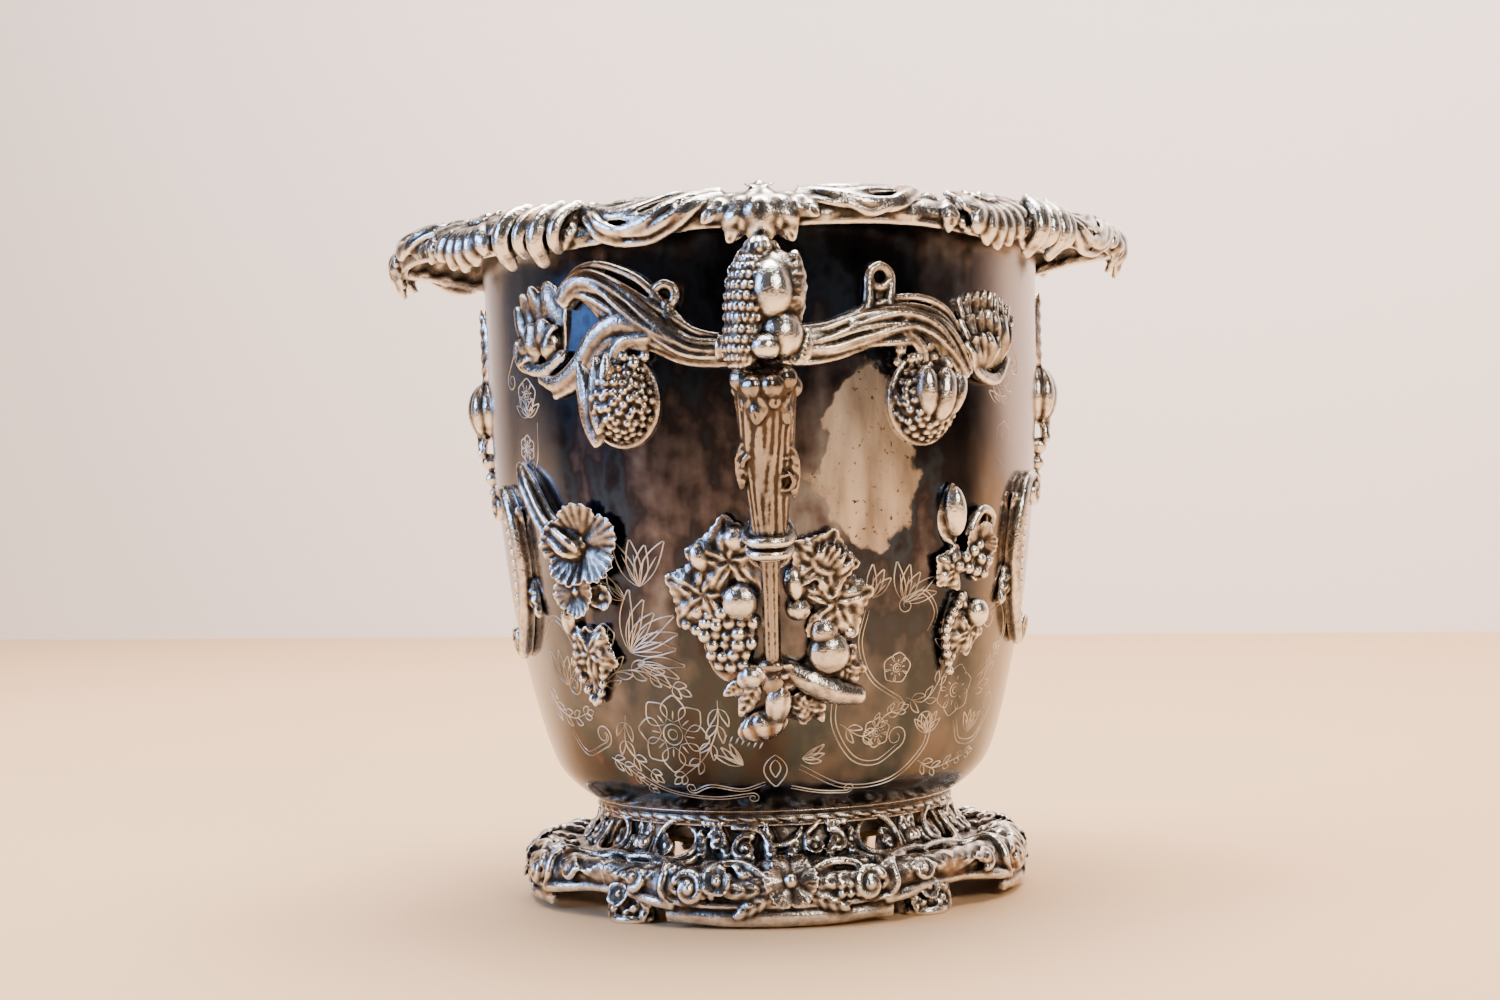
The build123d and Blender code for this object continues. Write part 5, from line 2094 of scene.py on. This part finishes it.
@dataclass
class Cartouche:
    """The frame of scrolls, flowers and leaves on the bowl's left and right sides."""

    voxel: float = 0.5

    def drop(self) -> Shape:
        """A leaf that hangs to a fruit, with a ball under it."""
        return on_bowl(
            [
                leaf(30.0, 13.0, veins=6, cup=-0.4, thick=3.0).moved(0.0, 8.0, 1.6),
                blob((10.0, 11.0, 7.6), ribbed(7, 0.12)).moved(0.0, -1.0, 1.4),
                leaf(17.0, 9.0, teeth=4, cup=-0.5, thick=2.6).turned(150).moved(4.0, -4.0, 5.0),
                leaf(17.0, 9.0, teeth=4, cup=-0.5, thick=2.6).turned(210).moved(-4.0, -4.0, 5.0),
                beads([(0.0, -20.0, 2.0), (0.0, -26.5, 1.8), (0.0, -32.0, 1.6)], [3.4, 2.8, 2.2]),
            ],
            90.0,
            184.0,
        )

    def scroll(self, side: int) -> Shape:
        """A C-scroll with a volute at each end and beads along its inner side."""
        path = [
            (4, 30, 1.6),
            (-4, 29, 2.2),
            (-10, 20, 2.6),
            (-12, 4, 2.4),
            (-9, -13, 2.6),
            (-1, -25, 2.4),
            (7, -29, 2),
        ]
        bead_line = smooth_line([(-3, 20, 2.0), (-5, 5, 2.0), (-2, -12, 2.0)], 9)
        shapes = [
            tube(path, [3.0, 3.8, 4.4, 4.4, 4.4, 3.8, 2.8], flat=0.75, reeds=3, depth=0.25),
            volute(5.0, 2.0, hand=-1).turned(70).moved(4.0, 25.0, 2.6),
            volute(4.6, 1.9, hand=1).turned(-90).moved(6.0, -24.0, 2.6),
            beads(bead_line, 1.8),
            leaf(20, 9, teeth=4, cup=-0.4, thick=2.4).turned(150).moved(-9, 2, 2.0),
            leaf(16, 8, teeth=3, cup=-0.4, thick=2.4).turned(20).moved(-8, 10, 2.0),
        ]
        flat = joined(shapes)
        return on_bowl([flat if side > 0 else flat.mirrored()], 90.0 - side * 22.0, 122.0)

    def ruffled_spray(self) -> Shape:
        """A reeded trumpet stem with two ruffled flowers and a beaded leaf below, right of its stem."""
        edge = smooth_line([(-4, -18, 2.6), (-6, -30, 2.6), (0, -42, 2.6), (6, -32, 2.6), (7, -20, 2.6)], 17)
        return on_bowl(
            [
                flower(5, 15.0, 3.4, 2.0, 0.5).turned(14, axis=1).turned(24).moved(5.0, 14.0, 2.6),
                flower(4, 9.5, 2.4, 1.6, 0.4).turned(10).moved(0.0, -2.0, 2.6),
                flower(5, 5.0, 1.6, 1.4, 0.3).moved(11.0, -4.0, 2.0),
                tube(
                    [(-25, 42, 2), (-19, 35, 3), (-10, 22, 3.6), (0, 14, 3.6)],
                    [2.2, 4.2, 4.6, 6.4],
                    reeds=7,
                    depth=0.26,
                ),
                lobed_leaf(13.0, 5, -1.0).turned(180).moved(2.0, -24.0, 0.4),
                leaf(26, 14, veins=6, vein=0.45, cup=-0.3, thick=2.6).turned(180).moved(1.0, -14.0, 1.6),
                beads(edge, 1.7),
                blob((3.4, 6.0, 3.2), ribbed(5, 0.12)).moved(-7.0, -12.0, 2.0),
            ],
            -42.0,
            119.0,
        )

    def berry_spray(self) -> Shape:
        """A long bud over berries, petals and a beaded seed pod."""
        edge = smooth_line([(0, -8, 3), (-6, -20, 3), (-2, -34, 3)], 10)
        berries = [
            (x, y, 3.4) for x, y in ((0, 6), (4, 8), (8, 5), (2, 2), (6, 1), (10, 0), (-3, 3), (12, 4))
        ]
        return on_bowl(
            [
                blob((4.2, 9.0, 4.0), ribbed(3, 0.1)).turned(6).moved(-5.0, 22.0, 2.8),
                leaf(22, 11, cup=-0.3, thick=2.4).turned(2).moved(-5.0, 10.0, 1.4),
                flower(5, 8.5, 2.0, 2.0, 0.4).moved(8.0, 10.0, 1.6),
                lobed_leaf(9.0, 5, -1.0).turned(60).moved(-5.0, 2.0, 0.6),
                lobed_leaf(10.0, 5, -1.0).turned(190).moved(5.0, -20.0, 0.4),
                beads(berries, 2.1),
                leaf(26, 13, veins=7, vein=0.5, cup=-0.35, thick=2.8).turned(174).moved(2.0, -6.0, 1.6),
                beads(edge, 1.8),
                blob((5.0, 5.2, 4.4)).moved(9.0, -14.0, 2.6),
                leaf(14, 8, teeth=4).turned(-60).moved(6, -2, 1.6),
                tube([(2, 14, 2.4), (8, 22, 2.4), (15, 20, 2.0), (14, 13, 2)], [1.4, 1.8, 1.6, 1.0]),
            ],
            42.0,
            119.0,
        )

    def build(self, palette: Palette) -> None:
        """Casts the pieces of one cartouche and sets them at the right and, turned, at the left."""
        away = {"front": "back", "back": "front"}
        drop = cast("drop", self.drop(), self.voxel)
        for side, turn in (("right", 0.0), ("left", 180.0)):
            node = side + "_cartouche_drop"
            place(node + "_casting", drop, Slot.CAST, palette.cast, node, turn)
        pieces = {
            ("front", "scroll"): (self.scroll(1), 0.0),
            ("back", "scroll"): (self.scroll(-1), 0.0),
            ("front", "flower_spray"): (self.berry_spray(), 0.0),
            ("back", "flower_spray"): (self.ruffled_spray(), 180.0),
        }
        for (end, kind), (shape, shift) in pieces.items():
            mesh = cast(f"{end}_{kind}", shape, self.voxel)
            right, left = f"right_cartouche_{end}_{kind}", f"left_cartouche_{away[end]}_{kind}"
            place(right + "_casting", mesh, Slot.CAST, palette.cast, right, shift)
            place(left + "_casting", mesh, Slot.CAST, palette.cast, left, shift + 180.0)


# ---------------------------------------------------------------------------------------------
# Fittings, studio and camera
# ---------------------------------------------------------------------------------------------


@dataclass
class Fittings:
    """The plate, stud, washer and nut under the foot, shown as the CAD model has them."""

    nodes: tuple[str, ...] = ("foot_plate", "foot_stud", "foot_washer", "foot_nut")

    def build(self, palette: Palette) -> None:
        """Gives the CAD nodes their finish."""
        for name in self.nodes:
            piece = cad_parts[name]
            piece.data.materials.clear()
            piece.data.materials.append(palette.brass)
            LOG.info("%s: dressed", name)


@dataclass
class Studio:
    """A pale table and wall, soft lights, and the camera."""

    lens: float = 56.4
    distance: float = 0.892
    eye_height: float = 0.1465
    eye_shift: float = -0.006
    roll: float = 1.72
    wall_distance: float = 1.642
    wall_turn: float = 23.1
    half_width: float = 4.0
    near: float = -4.0
    height: float = 3.0
    sensor: float = 36.0
    table: str = "#DDB68A"
    wall: str = "#F7ECE5"

    def plain(self, name: str, colour: str) -> bpy.types.Material:
        """A plain matt paint or oiled wood, without pattern."""
        material = bpy.data.materials.new(name)
        material.use_nodes = True
        shader = material.node_tree.nodes["Principled BSDF"]
        shader.inputs["Base Color"].default_value = linear(colour)
        shader.inputs["Roughness"].default_value = 0.75
        return material

    def sheet(self, name: str, corners: Sequence[Point], colour: str) -> None:
        """A flat staged sheet through four corners, in metres."""
        mesh = bpy.data.meshes.new(name)
        mesh.from_pydata([tuple(c) for c in corners], [], [(0, 1, 2, 3)])
        mesh.materials.append(self.plain(name + "_paint", colour))
        linked(name, mesh)

    def light(
        self, name: str, place_at: Point, aim: Point, size: float, power: float, colour: str
    ) -> None:
        """A square soft light.

        Args:
            name: the light's name.
            place_at: where it stands, in metres.
            aim: the point that it faces.
            size: width of its square.
            power: its power in watts.
            colour: its sRGB hex colour.
        """
        data = bpy.data.lights.new(name, "AREA")
        data.size, data.energy = size, power
        data.color = linear(colour)[:3]
        lamp = bpy.data.objects.new(name, data)
        bpy.context.scene.collection.objects.link(lamp)
        lamp.location = place_at
        gaze = Vector(aim) - Vector(place_at)
        lamp.rotation_euler = gaze.to_track_quat("-Z", "Y").to_euler()

    def build(self) -> None:
        """Makes the table, wall, lights, world and camera."""
        wide, near, high = self.half_width, self.near, self.height
        slope = np.tan(np.radians(self.wall_turn))
        left, right = (self.wall_distance - slope * x for x in (-wide, wide))
        table = [(-wide, near, 0), (wide, near, 0), (wide, right, 0), (-wide, left, 0)]
        wall = [(-wide, left, -0.2), (wide, right, -0.2), (wide, right, high), (-wide, left, high)]
        self.sheet("table", table, self.table)
        self.sheet("wall", wall, self.wall)
        middle = (0.0, 0.0, 0.15)
        self.light("window", (-1.5, -0.45, 0.7), middle, 0.8, 30.0, "#9CC3FF")
        self.light("lamp", (0.75, -1.25, 0.85), middle, 0.45, 15.0, "#FFF0DE")
        self.light("ceiling", (0.1, 0.1, 1.7), middle, 1.1, 24.0, "#FFF7EE")
        self.light("wall_wash", (0.0, 0.3, 2.3), (0.0, 1.64, 0.4), 1.8, 185.0, "#FFF4EC")
        world = bpy.data.worlds.new("dim_room")
        world.use_nodes = True
        background = world.node_tree.nodes["Background"]
        background.inputs["Color"].default_value = linear("#C9C2BC")
        background.inputs["Strength"].default_value = 0.16
        bpy.context.scene.world = world
        data = bpy.data.cameras.new("camera")
        data.lens, data.sensor_width = self.lens, self.sensor
        camera = bpy.data.objects.new("camera", data)
        camera.location = (self.eye_shift, -self.distance, self.eye_height)
        camera.rotation_euler = np.radians([90.0, self.roll, 0.0])
        bpy.context.scene.collection.objects.link(camera)
        bpy.context.scene.camera = camera


def main() -> None:
    """Builds the bucket and its studio."""
    logging.basicConfig(level=logging.INFO, format="%(name)s %(message)s")
    palette = Palette()
    Studio().build()
    for part in (Bowl(), Border(), Foot(), Fittings(), Handle(), Cartouche()):
        part.build(palette)


if __name__ == "__main__":
    main()
